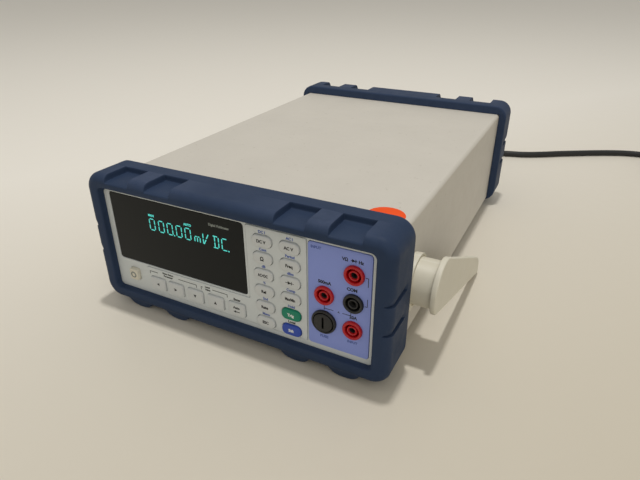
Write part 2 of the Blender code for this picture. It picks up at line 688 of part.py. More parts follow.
def rear():
    """The rear panel, its mains inlet with fuse drawer, the voltage selector and the data port."""
    face, inside = FACE_Y, FACE_Y - REAR_THICK
    mesh = bmesh.new()
    half_w, half_h = CASE_HALF_W - 0.0001, CASE_MID - CASE_LOW - 0.0001
    add_prism(mesh, rounded_rectangle(half_w, half_h, 0.0022, 2, (0.0, CASE_MID)), inside, face)
    panel = finish("rear_panel", mesh, "case_paint")
    inlet_body = (INLET_X - 0.0140, 0.0220, INLET_X + 0.0140, 0.0580)
    port = (-0.0760, 0.0300, -0.0620, 0.0440)
    x, z = SELECTOR_PLACE[0] + SELECTOR_TRAVEL / 2, SELECTOR_PLACE[2]
    selector = (x - 0.0045, z - 0.0030, x + 0.0045, z + 0.0030)
    tool = bmesh.new()
    for opening in (inlet_body, port, selector):
        add_prism(tool, frame_outline(opening, GAP, 0.0010, 2), inside - 0.002, face + 0.002)
    boolean(panel, finish("rear_openings", tool, None), "DIFFERENCE")

    rim_x, rim_z, seat, inlet_back = 0.0035, 0.0020, face + GAP, 0.1440
    flange = (inlet_body[0] - rim_x, inlet_body[1] - rim_z, inlet_body[2] + rim_x, inlet_body[3] + rim_z)
    rings = []
    for frame, y in ((flange, face + 0.0020), (flange, seat), (inlet_body, seat), (inlet_body, inlet_back)):
        rings.append([(x, y, z) for x, z in frame_outline(frame, 0.0, 0.0010, 2)])
    mesh = bmesh.new()
    loft(mesh, rings)
    inlet = finish("power_inlet", mesh, "black_plastic")
    tool = bmesh.new()
    add_prism(tool, rounded_rectangle(0.0125, 0.0088, 0.0020, 2, (INLET_X, INLET_Z)), 0.1520, face + 0.004)
    add_prism(tool, rounded_rectangle(0.0115, 0.0042, 0.0006, 1, (INLET_X, DRAWER_Z)), 0.1455, face + 0.004)
    boolean(inlet, finish("inlet_hollows", tool, None), "DIFFERENCE")
    pins = bmesh.new()
    for x, z in inlet_pins():
        add_box(pins, (x - 0.0010, 0.1510, z - 0.0020), (x + 0.0010, 0.1640, z + 0.0020))
    boolean(inlet, finish("inlet_pins", pins, None), "UNION")

    rings = []
    for half_w, half_h, y in (
        (0.0110, 0.0037, 0.1500),
        (0.0110, 0.0037, face + 0.0020 + GAP),
        (0.0120, 0.0044, face + 0.0020 + GAP),
        (0.0120, 0.0044, face + 0.0042),
    ):
        outline = rounded_rectangle(half_w, half_h, 0.0005, 1, (INLET_X, DRAWER_Z))
        rings.append([(x, y, z) for x, z in outline])
    mesh = bmesh.new()
    loft(mesh, rings)
    finish("fuse_drawer", mesh, "black_plastic")

    rings = []
    for half_w, half_h, y in (
        (0.0095, 0.0045, inside - 0.0035),
        (0.0095, 0.0045, inside - GAP),
        (0.0018, 0.0024, inside - GAP),
        (0.0018, 0.0024, face + 0.0010),
    ):
        outline = rounded_rectangle(half_w, half_h, 0.0004, 1)
        rings.append([(x, y, z) for x, z in outline])
    mesh = bmesh.new()
    loft(mesh, rings)
    finish("voltage_selector", mesh, "jack_red", SELECTOR_PLACE)

    mesh = bmesh.new()
    add_prism(mesh, frame_outline(port, 0.0, 0.0008, 2), 0.1520, face + 0.0006)
    socket = finish("data_port", mesh, "steel")
    tool = bmesh.new()
    x, z = (port[0] + port[2]) / 2, (port[1] + port[3]) / 2
    hollow = [(x - 0.0060, 0.0312), (x + 0.0060, 0.0312), (x + 0.0060, 0.0400), (x + 0.0042, 0.0428)]
    hollow += [(x - 0.0042, 0.0428), (x - 0.0060, 0.0400)]
    add_prism(tool, hollow, 0.1550, face + 0.004)
    boolean(socket, finish("data_port_hollow", tool, None), "DIFFERENCE")
    tongue = bmesh.new()
    add_box(tongue, (x - 0.0028, 0.1540, 0.0380), (x + 0.0028, 0.1640, 0.0405))
    boolean(socket, finish("data_port_tongue", tongue, None), "UNION")


def inlet_pins():
    """The earth pin above, and the line and neutral pins either side below."""
    return ((INLET_X, INLET_Z + 0.0040), (INLET_X - 0.0070, INLET_Z), (INLET_X + 0.0070, INLET_Z))


# ---------------------------------------------------------------- handle


def arm_outline():
    """The arm seen from the side, as (y, z) about the hub: a disc cut by the two straight edges."""
    corner = (-0.0136, -0.0128)
    shoulder = (0.0113, 0.0149)
    start = math.atan2(corner[1], corner[0]) + 2 * math.pi
    end = math.atan2(shoulder[1], shoulder[0])
    steps = 12
    outline = []
    for step in range(steps + 1):
        angle = start + (end - start) * step / steps
        outline.append((DISC_R * math.cos(angle), DISC_R * math.sin(angle)))
    outline += [(0.0967, -0.0278), (0.1067, -0.0330), (0.1132, -0.0378), (0.1162, -0.0430)]
    outline += [(0.1170, -0.0480), (0.1164, -0.0517), (0.1146, -0.0525)]
    return outline


def handle():
    """Hubs on the case, bolts through them, and the arms and strap that turn about them."""
    for side, end in (("left", -1), ("right", 1)):
        bore = BOLT_R + GAP
        start = CASE_HALF_W + GAP
        profile = [(bore, end * start), (FLANGE_R, end * start), (FLANGE_R, end * FLANGE_END)]
        profile += [(DRUM_R, end * FLANGE_END), (DRUM_R, end * DRUM_END)]
        profile.append((bore, end * DRUM_END))
        turned(f"handle_hub_{side}", profile, 24, "handle_cream", "x", (0.0, HUB_Y, HUB_Z))
        head = 0.1010
        profile = [(0.0, end * (head - 0.0035)), (0.0055, end * (head - 0.0035)), (0.0055, end * head)]
        profile += [(BOLT_R, end * head), (BOLT_R, end * 0.1268), (0.0, end * 0.1268)]
        turned(f"pivot_bolt_{side}", profile, 12, "steel", "x", (0.0, HUB_Y, HUB_Z))

        mesh = bmesh.new()
        rings = []
        round_off = 0.0008
        for x, shrink in ((ARM_INNER, 0.0), (ARM_OUTER - round_off, 0.0), (ARM_OUTER, round_off)):
            ring = []
            for y, z in arm_outline():
                reach = math.hypot(y, z)
                scale = 1 - shrink / reach
                ring.append((end * (x + ARM_SPLAY * max(0.0, y)), y * scale, z * scale))
            rings.append(ring)
        loft(mesh, rings)
        arm = finish(f"handle_arm_{side}", mesh, "handle_cream", (0.0, HUB_Y, HUB_Z))
        hole = turned(
            f"arm_hole_{side}",
            rod_profile(BOLT_R + GAP, end * 0.1200, end * (0.1268 + GAP)),
            16,
            None,
            "x",
            (0.0, HUB_Y, HUB_Z),
        )
        boolean(arm, hole, "DIFFERENCE")
    strap = [(0.1002, -0.0464), (0.1149, -0.0464), (0.1155, -0.0478), (0.1119, -0.0516), (0.1002, -0.0479)]
    mesh = bmesh.new()
    rings = []
    for side in (-1, 1):
        rings.append([(side * (ARM_INNER + ARM_SPLAY * y - GAP), y, z) for y, z in strap])
    loft(mesh, rings)
    finish("handle_bar", mesh, "handle_cream", (0.0, HUB_Y, HUB_Z))


# ---------------------------------------------------------------- mains lead


def mains_connector():
    """The moulded socket that is plugged into the inlet, with its tapered strain relief."""
    sizes = (
        (0.0120, 0.0083, 0.0010, 0.1536),
        (0.0120, 0.0083, 0.0010, 0.1700),
        (0.0140, 0.0100, 0.0030, 0.1700),
        (0.0140, 0.0100, 0.0030, 0.1930),
        (0.0095, 0.0085, 0.0040, 0.2010),
        (0.0058, 0.0058, 0.0050, 0.2040),
        (0.0042, 0.0042, 0.0040, 0.2320),
    )
    rings = []
    for half_w, half_h, corner, y in sizes:
        outline = rounded_rectangle(half_w, half_h, corner, 3, (INLET_X, INLET_Z))
        rings.append([(x, y, z) for x, z in outline])
    mesh = bmesh.new()
    loft(mesh, rings)
    connector = finish("mains_connector", mesh, "black_plastic")
    slots = bmesh.new()
    for x, z in inlet_pins():
        add_box(slots, (x - 0.0015, 0.1500, z - 0.0025), (x + 0.0015, 0.1650, z + 0.0025))
    boolean(connector, finish("connector_slots", slots, None), "DIFFERENCE")


LEAD_ROUTE = (
    (INLET_X, 0.2323, INLET_Z),
    (0.0700, 0.2460, 0.0455),
    (0.0704, 0.2600, 0.0410),
    (0.0715, 0.2730, 0.0320),
    (0.0735, 0.2845, 0.0215),
    (0.0775, 0.2950, 0.0120),
    (0.0840, 0.3035, 0.0060),
    (0.0930, 0.3090, 0.0038),
    (0.1040, 0.3125, CORD_R),
    (0.1200, 0.3175, CORD_R),
    (0.1400, 0.3285, CORD_R),
    (0.1610, 0.3425, CORD_R),
    (0.1815, 0.3550, CORD_R),
    (0.2020, 0.3670, CORD_R),
    (0.2220, 0.3775, CORD_R),
    (0.2400, 0.3845, CORD_R),
    (0.2560, 0.3875, CORD_R),
    (0.2710, 0.3880, CORD_R),
    (0.2890, 0.3878, CORD_R),
)
TAIL_ROUTE = (
    (0.3655, 0.3115, 0.0110),
    (0.3660, 0.3040, 0.0113),
    (0.3660, 0.2960, 0.0120),
)


def smooth_points(route, step):
    """Points about step apart along the Catmull-Rom curve through a route."""
    knots = [Vector(point) for point in route]
    knots = [2 * knots[0] - knots[1], *knots, 2 * knots[-1] - knots[-2]]
    fine = []
    for first, start, end, last in zip(knots, knots[1:], knots[2:], knots[3:], strict=False):
        for part in range(16):
            t = part / 16
            point = 2 * start + (end - first) * t
            point += (2 * first - 5 * start + 4 * end - last) * t * t
            point += (3 * start - 3 * end + last - first) * t * t * t
            fine.append(point / 2)
    fine.append(knots[-2])
    lengths = [0.0]
    for start, end in zip(fine, fine[1:], strict=False):
        lengths.append(lengths[-1] + (end - start).length)
    count = max(2, round(lengths[-1] / step))
    points = []
    at = 0
    for number in range(count + 1):
        wanted = lengths[-1] * number / count
        while at < len(fine) - 2 and lengths[at + 1] < wanted:
            at += 1
        share = (wanted - lengths[at]) / (lengths[at + 1] - lengths[at])
        points.append(fine[at].lerp(fine[at + 1], min(1.0, share)))
    return points


def lead(name, route):
    """A round lead through a route, as a capped tube."""
    points = smooth_points(route, 2.5 * 2 * CORD_R)
    curve = bpy.data.curves.new(name, "CURVE")
    curve.dimensions = "3D"
    curve.bevel_depth = CORD_R
    curve.bevel_resolution = 2
    curve.use_fill_caps = True
    spline = curve.splines.new("POLY")
    spline.points.add(len(points) - 1)
    for knot, point in zip(spline.points, points, strict=True):
        knot.co = (*point, 1.0)
    curve.materials.append(material("cord_black", *MATERIALS["cord_black"]))
    made = bpy.data.objects.new(name, curve)
    bpy.context.scene.collection.objects.link(made)
    return made


def mains_lead():
    """The lead along the table, the coil of its spare length, and the plug beyond the coil."""
    lead("mains_lead", LEAD_ROUTE)
    profile = [(COIL_INNER_R, 0.0), (COIL_OUTER_R, 0.0), (COIL_OUTER_R, COIL_HIGH), (COIL_INNER_R, COIL_HIGH)]
    turned("lead_coil", profile, 32, "cord_black", "z", (*COIL_CENTRE, 0.0))
    lead("lead_end", TAIL_ROUTE)
    x, z = TAIL_ROUTE[-1][0], TAIL_ROUTE[-1][2]
    start = TAIL_ROUTE[-1][1] - GAP
    sizes = ((0.0042, 0.0), (0.0062, 0.0240), (0.0118, 0.0270), (0.0118, 0.0500), (0.0105, 0.0520))
    rings = []
    for half, along in sizes:
        outline = rounded_rectangle(half * 1.1, half, half * 0.45, 3, (x, z))
        rings.append([(px, start - along, pz) for px, pz in outline])
    mesh = bmesh.new()
    loft(mesh, rings)
    plug = finish("mains_plug", mesh, "black_plastic")
    pins = bmesh.new()
    end = start - 0.0510
    blade_high = z + BLADE_RISE
    for side in (-1, 1):
        blade_x = x + side * BLADE_APART / 2
        low = (blade_x - BLADE_THICK / 2, end - BLADE_LONG, blade_high - BLADE_WIDE / 2)
        add_box(pins, low, (blade_x + BLADE_THICK / 2, end, blade_high + BLADE_WIDE / 2))
    earth = rod_profile(EARTH_R, end - BLADE_LONG, end)
    add_turned(pins, earth, 12, "y", (x, 0.0, blade_high - EARTH_DROP))
    boolean(plug, finish("plug_pins", pins, None), "UNION")


clear_scene()
bumper("front_bumper", -1)
bumper("rear_bumper", 1)
top_cover()
bottom_chassis()
front_panel()
front_fittings()
jacks()
current_fuse()
keys()
power_button()
boards()
transformer()
rear()
handle()
mains_connector()
mains_lead()
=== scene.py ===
"""The looks of a bench digital multimeter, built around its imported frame.

Sizes are in metres. +Z is up, the front panel faces -Y, and the origin is on the table under the case.
"""

import json
import math

import bmesh
import bpy
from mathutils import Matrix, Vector


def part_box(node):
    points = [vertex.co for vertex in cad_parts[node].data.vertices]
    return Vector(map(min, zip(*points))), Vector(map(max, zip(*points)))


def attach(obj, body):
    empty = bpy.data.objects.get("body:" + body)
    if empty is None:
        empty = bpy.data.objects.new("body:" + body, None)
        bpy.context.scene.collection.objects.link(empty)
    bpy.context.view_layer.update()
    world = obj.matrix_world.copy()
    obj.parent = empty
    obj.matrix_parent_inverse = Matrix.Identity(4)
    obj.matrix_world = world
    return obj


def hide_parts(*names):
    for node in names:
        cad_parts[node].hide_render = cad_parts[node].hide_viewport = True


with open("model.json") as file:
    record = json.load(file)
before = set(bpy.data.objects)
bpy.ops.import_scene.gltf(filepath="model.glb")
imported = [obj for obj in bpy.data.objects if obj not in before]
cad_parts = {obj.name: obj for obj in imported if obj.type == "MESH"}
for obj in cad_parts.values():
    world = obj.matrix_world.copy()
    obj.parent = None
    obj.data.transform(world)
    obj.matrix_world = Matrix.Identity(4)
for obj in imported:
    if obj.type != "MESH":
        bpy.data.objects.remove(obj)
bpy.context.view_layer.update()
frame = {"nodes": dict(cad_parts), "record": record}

# Places that come from the frame
PANEL_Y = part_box("front_panel")[0][1]
PANEL_BACK = PANEL_Y + 0.003
REAR_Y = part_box("rear_panel")[1][1]
CASE_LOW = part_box("bottom_chassis")[0][2]
CASE_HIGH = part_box("top_cover")[1][2]
CASE_HALF_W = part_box("top_cover")[1][0]
COVER_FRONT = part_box("top_cover")[0][1]
COVER_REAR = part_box("top_cover")[1][1]
BUMPER_HALF_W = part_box("front_bumper")[1][0]
BUMPER_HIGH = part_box("front_bumper")[1][2]
BUMPER_LIP = PANEL_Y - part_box("front_bumper")[0][1]
BUMPER_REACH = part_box("front_bumper")[1][1] - PANEL_Y


def middle(node):
    """The middle of a node's box."""
    low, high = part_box(node)
    return Vector([(a + b) / 2 for a, b in zip(low, high)])


def front_spot(node):
    """The (x, z) of a node's middle."""
    at = middle(node)
    return at[0], at[2]


def add_object(name, data):
    made = bpy.data.objects.new(name, data)
    bpy.context.scene.collection.objects.link(made)
    return made


# ---------------------------------------------------------------- camera

EYE = (0.18556, -0.39924, 0.23162)
AIM_DEGREES = (61.919, 0.019, 27.213)
LENS_MM = 29.659


def camera():
    data = bpy.data.cameras.new("camera")
    data.lens = LENS_MM
    data.sensor_width = 36.0
    data.clip_start = 0.01
    made = add_object("camera", data)
    made.location = EYE
    made.rotation_euler = [math.radians(angle) for angle in AIM_DEGREES]
    bpy.context.scene.camera = made


# ---------------------------------------------------------------- materials


def srgb(red, green, blue):
    """A linear colour from display values of 0 to 255."""
    linear = []
    for part in (red, green, blue):
        share = part / 255
        linear.append(share / 12.92 if share <= 0.04045 else ((share + 0.055) / 1.055) ** 2.4)
    return (*linear, 1.0)


def shaded(colour, factor):
    return (*[min(1.0, part * factor) for part in colour[:3]], 1.0)


def add_node(tree, kind, settings=(), **fields):
    made = tree.nodes.new(kind)
    for field, value in fields.items():
        setattr(made, field, value)
    for socket, value in dict(settings).items():
        made.inputs[socket].default_value = value
    return made


def noise(tree, size, detail=4.0, stretch=(1.0, 1.0, 1.0)):
    """A noise texture whose features are about size metres across, fixed to the object's own space."""
    place = add_node(tree, "ShaderNodeTexCoord")
    mapping = add_node(tree, "ShaderNodeMapping", {"Scale": [1 / (size * part) for part in stretch]})
    tree.links.new(place.outputs["Object"], mapping.inputs["Vector"])
    made = add_node(tree, "ShaderNodeTexNoise", {"Scale": 1.0, "Detail": detail, "Roughness": 0.6})
    tree.links.new(mapping.outputs["Vector"], made.inputs["Vector"])
    return made.outputs["Fac"]


def spread(tree, value, low, high, from_low=0.3, from_high=0.7):
    """Maps a value's range onto another one."""
    settings = {"From Min": from_low, "From Max": from_high, "To Min": low, "To Max": high}
    made = add_node(tree, "ShaderNodeMapRange", settings)
    tree.links.new(value, made.inputs["Value"])
    return made.outputs["Result"]


def mixed(tree, share, first, second):
    """Mixes two colours; each is a colour or a socket."""
    made = add_node(tree, "ShaderNodeMix", data_type="RGBA")
    tree.links.new(share, made.inputs["Factor"])
    for socket, colour in ((made.inputs[6], first), (made.inputs[7], second)):
        if isinstance(colour, tuple):
            socket.default_value = colour
        else:
            tree.links.new(colour, socket)
    return made.outputs[2]


def look(name, colour, rough, grain=0.0, grain_size=0.0006, vary=0.06, metal=0.0, stretch=(1, 1, 1),
         worn=None, speck=None, shader_settings=(), glow=0.0):
    """A Principled material with cloudy colour, uneven gloss, a fine bumpy grain and worn edges.

    grain is the height of the bumps. worn is the colour that rubbed edges turn, and speck is the
    colour of tiny marks.
    """
    made = bpy.data.materials.new(name)
    made.use_nodes = True
    tree = made.node_tree
    shader = tree.nodes["Principled BSDF"]
    shader.inputs["Metallic"].default_value = metal
    for socket, value in dict(shader_settings).items():
        shader.inputs[socket].default_value = value
    clouds = noise(tree, 0.035, 5.0, stretch)
    fine = noise(tree, grain_size, 3.0, stretch)
    base = mixed(tree, spread(tree, clouds, 0.0, 1.0), shaded(colour, 1 - vary), shaded(colour, 1 + vary))
    base = mixed(tree, spread(tree, fine, 0.0, 0.25), base, shaded(colour, 1 - 1.5 * vary))
    if speck:
        marks = spread(tree, noise(tree, 0.0035, 1.0), 0.0, 0.55, 0.71, 0.76)
        base = mixed(tree, marks, base, speck)
    if worn:
        edge = add_node(tree, "ShaderNodeNewGeometry").outputs["Pointiness"]
        rubbed = add_node(tree, "ShaderNodeMath", operation="MULTIPLY")
        tree.links.new(spread(tree, edge, 0.0, 1.0, 0.51, 0.60), rubbed.inputs[0])
        tree.links.new(spread(tree, noise(tree, 0.006), 0.25, 1.0), rubbed.inputs[1])
        base = mixed(tree, rubbed.outputs[0], base, worn)
    tree.links.new(base, shader.inputs["Base Color"])
    smears = noise(tree, 0.012, 4.0, stretch)
    tree.links.new(spread(tree, smears, rough * 0.88, rough * 1.15), shader.inputs["Roughness"])
    if grain:
        bump = add_node(tree, "ShaderNodeBump", {"Strength": 1.0, "Distance": grain})
        tree.links.new(fine, bump.inputs["Height"])
        tree.links.new(bump.outputs["Normal"], shader.inputs["Normal"])
    if glow:
        lit = mixed(tree, spread(tree, noise(tree, 0.0015), 0.0, 1.0), shaded(colour, 0.85), colour)
        tree.links.new(lit, shader.inputs["Emission Color"])
        shader.inputs["Emission Strength"].default_value = glow
    return made


SOFT_SHINE = {"shader_settings": {"Specular IOR Level": 0.14}}
FAINT_SHINE = {"shader_settings": {"Specular IOR Level": 0.2}}
METAL = {"metal": 1.0, "stretch": (1, 6, 1)}
LOOK_SHEET = (
    # name, display colour, roughness, height and size of the bumps, unevenness of the colour, the rest
    ("case_paint", (204, 199, 189), 0.5, 0.00004, 0.0007, 0.025, {"speck": srgb(184, 178, 166)}),
    ("bumper_rubber", (45, 60, 86), 0.55, 0.00003, 0.0005, 0.07, {"worn": srgb(66, 78, 104), **SOFT_SHINE}),
    ("panel_plastic", (208, 213, 213), 0.5, 0.000012, 0.0004, 0.02, {}),
    ("window", (14, 18, 19), 0.1, 0.0, 0.0006, 0.05, FAINT_SHINE),
    ("terminal_plate", (137, 153, 222), 0.45, 0.000008, 0.0004, 0.025, {}),
    ("key_grey", (205, 208, 208), 0.55, 0.000015, 0.0003, 0.02, {}),
    ("key_green", (0, 132, 102), 0.5, 0.000015, 0.0003, 0.05, {}),
    ("key_blue", (48, 78, 176), 0.5, 0.000015, 0.0003, 0.05, {}),
    ("handle_cream", (216, 211, 194), 0.45, 0.00002, 0.0006, 0.02, {"worn": srgb(228, 225, 212)}),
    ("jack_red", (184, 16, 26), 0.28, 0.000004, 0.0004, 0.06, {}),
    ("black_plastic", (24, 24, 26), 0.4, 0.00001, 0.0004, 0.08, {"worn": srgb(46, 46, 47)}),
    ("circuit_board", (20, 96, 58), 0.4, 0.00002, 0.0012, 0.15, {}),
    ("silicone", (158, 158, 152), 0.7, 0.00002, 0.0008, 0.04, {}),
    ("steel", (190, 190, 192), 0.3, 0.000006, 0.0006, 0.05, METAL),
    ("copper", (196, 112, 66), 0.35, 0.00008, 0.0006, 0.08, {"metal": 1.0, "stretch": (8, 8, 1)}),
    ("aluminium", (205, 206, 208), 0.35, 0.00001, 0.0006, 0.05, METAL),
    ("fuse_glass", (220, 224, 222), 0.15, 0.0, 0.0006, 0.04, {}),
    ("cord_black", (26, 26, 27), 0.5, 0.00001, 0.0005, 0.1, {}),
    ("black_ink", (20, 22, 26), 0.6, 0.0, 0.0006, 0.15, {}),
    ("blue_ink", (84, 104, 172), 0.6, 0.0, 0.0006, 0.08, {}),
    ("white_ink", (228, 232, 230), 0.5, 0.0, 0.0006, 0.04, {}),
    ("dim_ink", (132, 138, 134), 0.5, 0.0, 0.0006, 0.06, {}),
    ("glow", (78, 206, 198), 0.4, 0.0, 0.0006, 0.05, {"glow": 0.65}),
    ("orange_paper", (244, 84, 22), 0.6, 0.00001, 0.0005, 0.04, FAINT_SHINE),
    # painted shade: near-black for the insides of holes and recesses
    ("hole_dark", (12, 12, 12), 0.7, 0.0, 0.0006, 0.1, {}),
)
LOOKS = {name: look(name, srgb(*colour), *numbers, **rest) for name, colour, *numbers, rest in LOOK_SHEET}

# ---------------------------------------------------------------- shapes


def loft(mesh, rings, closed=False, look_number=0):
    """Skins rings of equal length; an open loft is capped at both ends."""
    made = [[mesh.verts.new(point) for point in ring] for ring in rings]
    pairs = list(zip(made, made[1:]))
    if closed:
        pairs.append((made[-1], made[0]))
    faces = []
    for first, second in pairs:
        for here in range(len(first)):
            after = (here + 1) % len(first)
            faces.append(mesh.faces.new((first[here], first[after], second[after], second[here])))
    if not closed:
        faces.append(mesh.faces.new(made[0]))
        faces.append(mesh.faces.new(made[-1]))
    for face in faces:
        face.material_index = look_number


def rounded_rectangle(half_w, half_h, radius, steps=6, centre=(0.0, 0.0)):
    """Points of a rounded rectangle, counter-clockwise from its lower right corner."""
    points = []
    for turn, (side_x, side_z) in enumerate(((1, -1), (1, 1), (-1, 1), (-1, -1))):
        for step in range(steps + 1):
            angle = math.radians(-90 + 90 * turn + 90 * step / steps)
            x = side_x * (half_w - radius) + radius * math.cos(angle)
            z = side_z * (half_h - radius) + radius * math.sin(angle)
            points.append((centre[0] + x, centre[1] + z))
    return points


def corner_curve(corners, number, radius, steps):
    """The short curve in place of one corner of an outline; it starts radius away from the corner."""
    corner = Vector(corners[number])
    start = corner + (Vector(corners[number - 1]) - corner).normalized() * radius
    end = corner + (Vector(corners[(number + 1) % len(corners)]) - corner).normalized() * radius
    shares = [step / steps for step in range(steps + 1)]
    return [start * (1 - t) ** 2 + corner * 2 * t * (1 - t) + end * t * t for t in shares]


def quarter(step, first=0):
    """The (sine, cosine) pairs of a quarter turn."""
    angles = [math.radians(turn) for turn in range(first, 91, step)]
    return [(math.sin(angle), math.cos(angle)) for angle in angles]


def softened(corners, radius, steps=4):
    """An outline whose corners become short curves."""
    points = []
    for number in range(len(corners)):
        points += corner_curve(corners, number, radius, steps)
    return points


def add_turned(mesh, profile, sides, axis="y", centre=(0.0, 0.0, 0.0), look_number=0):
    """Turns a closed profile of (radius, along) points; a radius of 0 closes the body on the axis."""
    turns = [2 * math.pi * side / sides for side in range(sides)]

    def place(radius, along, turn):
        across, up = radius * math.cos(turn), radius * math.sin(turn)
        point = {"y": (across, along, up), "x": (along, across, up), "z": (across, up, along)}[axis]
        return Vector(point) + Vector(centre)

    made = []
    for radius, along in profile:
        if radius == 0.0:
            made.append([mesh.verts.new(place(0.0, along, 0.0))] * sides)
        else:
            made.append([mesh.verts.new(place(radius, along, turn)) for turn in turns])
    for first, second in zip(made, made[1:] + made[:1]):
        for here in range(sides):
            after = (here + 1) % sides
            corners = []
            for vert in (first[here], first[after], second[after], second[here]):
                if vert not in corners:
                    corners.append(vert)
            if len(corners) > 2:
                mesh.faces.new(corners).material_index = look_number


def rounded_profile(corners, radius, steps=4):
    """A turned profile whose corners off the axis are rounded."""
    points = []
    for number, corner in enumerate(corners):
        if corner[0] == 0.0:
            points.append(corner)
        else:
            points += [tuple(point) for point in corner_curve(corners, number, radius, steps)]
    return points


def to_front(u, v, w):
    """A drawing's (right, up, out) as seen from in front of the panel."""
    return (u, -w, v)


def to_rear(u, v, w):
    return (-u, w, v)


def add_curve(mesh, data, place, look_number=0):
    """Adds a curve's solid to a bmesh, with each of its points moved by place(right, up, out)."""
    holder = add_object("drawing", data)
    shape = holder.evaluated_get(bpy.context.evaluated_depsgraph_get())
    solid = bpy.data.meshes.new_from_object(shape)
    for vertex in solid.vertices:
        vertex.co = place(*vertex.co)
    before = len(mesh.faces)
    mesh.from_mesh(solid)
    mesh.faces.ensure_lookup_table()
    for face in mesh.faces[before:]:
        face.material_index = look_number
    bpy.data.objects.remove(holder)
    bpy.data.meshes.remove(solid)
    bpy.data.curves.remove(data)


def add_plate(mesh, outlines, low, high, edge, place=to_front, look_number=0):
    """A plate from low to high along its normal, with rounded edges.

    The first outline is its rim, and the others are holes in it.
    """
    data = bpy.data.curves.new("plate", "CURVE")
    data.dimensions = "2D"
    data.fill_mode = "BOTH"
    data.extrude = (high - low) / 2 - edge
    data.bevel_depth = edge
    data.bevel_resolution = 2
    data.offset = -edge
    for outline in outlines:
        spline = data.splines.new("POLY")
        spline.points.add(len(outline) - 1)
        for knot, point in zip(spline.points, outline):
            knot.co = (point[0], point[1], 0.0, 1.0)
        spline.use_cyclic_u = True
    out = (low + high) / 2
    add_curve(mesh, data, lambda u, v, w: place(u, v, w + out), look_number)


CAP_SHARE = 0.73  # a capital's height as a share of the font's size
INK = 0.00005


def add_words(mesh, text, x, z, height, out, look_number=0, place=to_front, align="CENTER", squeeze=1.0,
              weight=0.065):
    """Raised lettering with capitals of the given height, about the point (x, z).

    weight is how far each stroke is fattened, as a share of the height.
    """
    data = bpy.data.curves.new("words", "FONT")
    data.body = text
    data.size = height / CAP_SHARE
    data.align_x = align
    data.extrude = INK
    data.offset = height * weight
    data.resolution_u = 3

    def on_panel(u, v, w):
        return place(x + u * squeeze, z + v - height / 2, out + w)

    add_curve(mesh, data, on_panel, look_number)


def add_ink(mesh, outline, out, look_number=0, place=to_front):
    """A thin raised shape on the panel, from its outline."""
    rings = [[place(spot[0], spot[1], out + level) for spot in outline] for level in (-INK, INK)]
    loft(mesh, rings, look_number=look_number)


def add_bar(mesh, start, end, width, out, look_number=0, place=to_front, point=0.0):
    """A thin raised bar between two points of the panel; point is how far its ends taper."""
    start, end = Vector(start), Vector(end)
    along = (end - start).normalized()
    side = Vector((-along[1], along[0])) * width / 2
    outline = [start, start + along * point + side, end - along * point + side, end]
    outline += [end - along * point - side, start + along * point - side]
    if not point:
        outline = [start + side, end + side, end - side, start - side]
    add_ink(mesh, outline, out, look_number, place)


def piece(name, mesh, looks, body="case", replaces=(), slot=None, smooth_below=38.0):
    """Makes an object of a bmesh, parents it to the empty of the body it rides on, and hides the nodes it
    stands for.

    The slot argument is not used.
    """
    bmesh.ops.recalc_face_normals(mesh, faces=mesh.faces)
    data = bpy.data.meshes.new(name)
    mesh.to_mesh(data)
    mesh.free()
    data.shade_smooth()
    data.set_sharp_from_angle(angle=math.radians(smooth_below))
    made = add_object(name, data)
    for part in looks:
        data.materials.append(LOOKS[part])
    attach(made, body)
    slot or looks[0]
    if replaces:
        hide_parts(*replaces)
    return made


# ---------------------------------------------------------------- the mains lead

CORD_R = 0.0035
INLET_X, INLET_Z = 0.070, 0.046
LEAD_ROUTE = (
    (INLET_X, 0.2323, INLET_Z), (0.0700, 0.2460, 0.0455), (0.0704, 0.2600, 0.0410),
    (0.0715, 0.2730, 0.0320), (0.0735, 0.2845, 0.0215), (0.0775, 0.2950, 0.0120),
    (0.0840, 0.3035, 0.0060), (0.0930, 0.3090, 0.0038), (0.1040, 0.3125, CORD_R),
    (0.1200, 0.3175, CORD_R), (0.1400, 0.3285, CORD_R), (0.1610, 0.3425, CORD_R),
    (0.1815, 0.3550, CORD_R), (0.2020, 0.3670, CORD_R), (0.2220, 0.3775, CORD_R),
    (0.2400, 0.3845, CORD_R), (0.2560, 0.3875, CORD_R), (0.2710, 0.3880, CORD_R),
    (0.2890, 0.3878, CORD_R),
)
TAIL_ROUTE = ((0.3655, 0.3115, 0.0110), (0.3660, 0.3040, 0.0113), (0.3660, 0.2960, 0.0120))
COIL_CENTRE = (0.3180, 0.3410)
COIL_OUTER = 0.0470  # the outermost turn's radius, at the middle of the lead
COIL_TURNS = 5.25
COIL_STEPS = 18  # points for each turn


def coil_point(turned):
    """The lead's middle after so many turns: three turns inwards on the table, then outwards on top."""
    thick = 2 * CORD_R
    step_from = 0.80
    layer_turns = 3
    whole = math.floor(turned)
    share = max(0.0, (turned - whole - step_from) / (1 - step_from))
    share = share * share * (3 - 2 * share)
    if whole < layer_turns - 1:
        radius, level = COIL_OUTER - thick * (whole + share), 0.0
    elif whole == layer_turns - 1:
        radius, level = COIL_OUTER - thick * whole, share
    else:
        radius, level = COIL_OUTER - thick * (2 * layer_turns - 1 - whole - share), 1.0
    radius = min(radius, COIL_OUTER + 0.0004)
    angle = math.radians(90 - 360 * turned)
    x = COIL_CENTRE[0] + radius * math.cos(angle)
    y = COIL_CENTRE[1] + radius * math.sin(angle)
    return (x, y, CORD_R + (thick + 0.0003) * level)


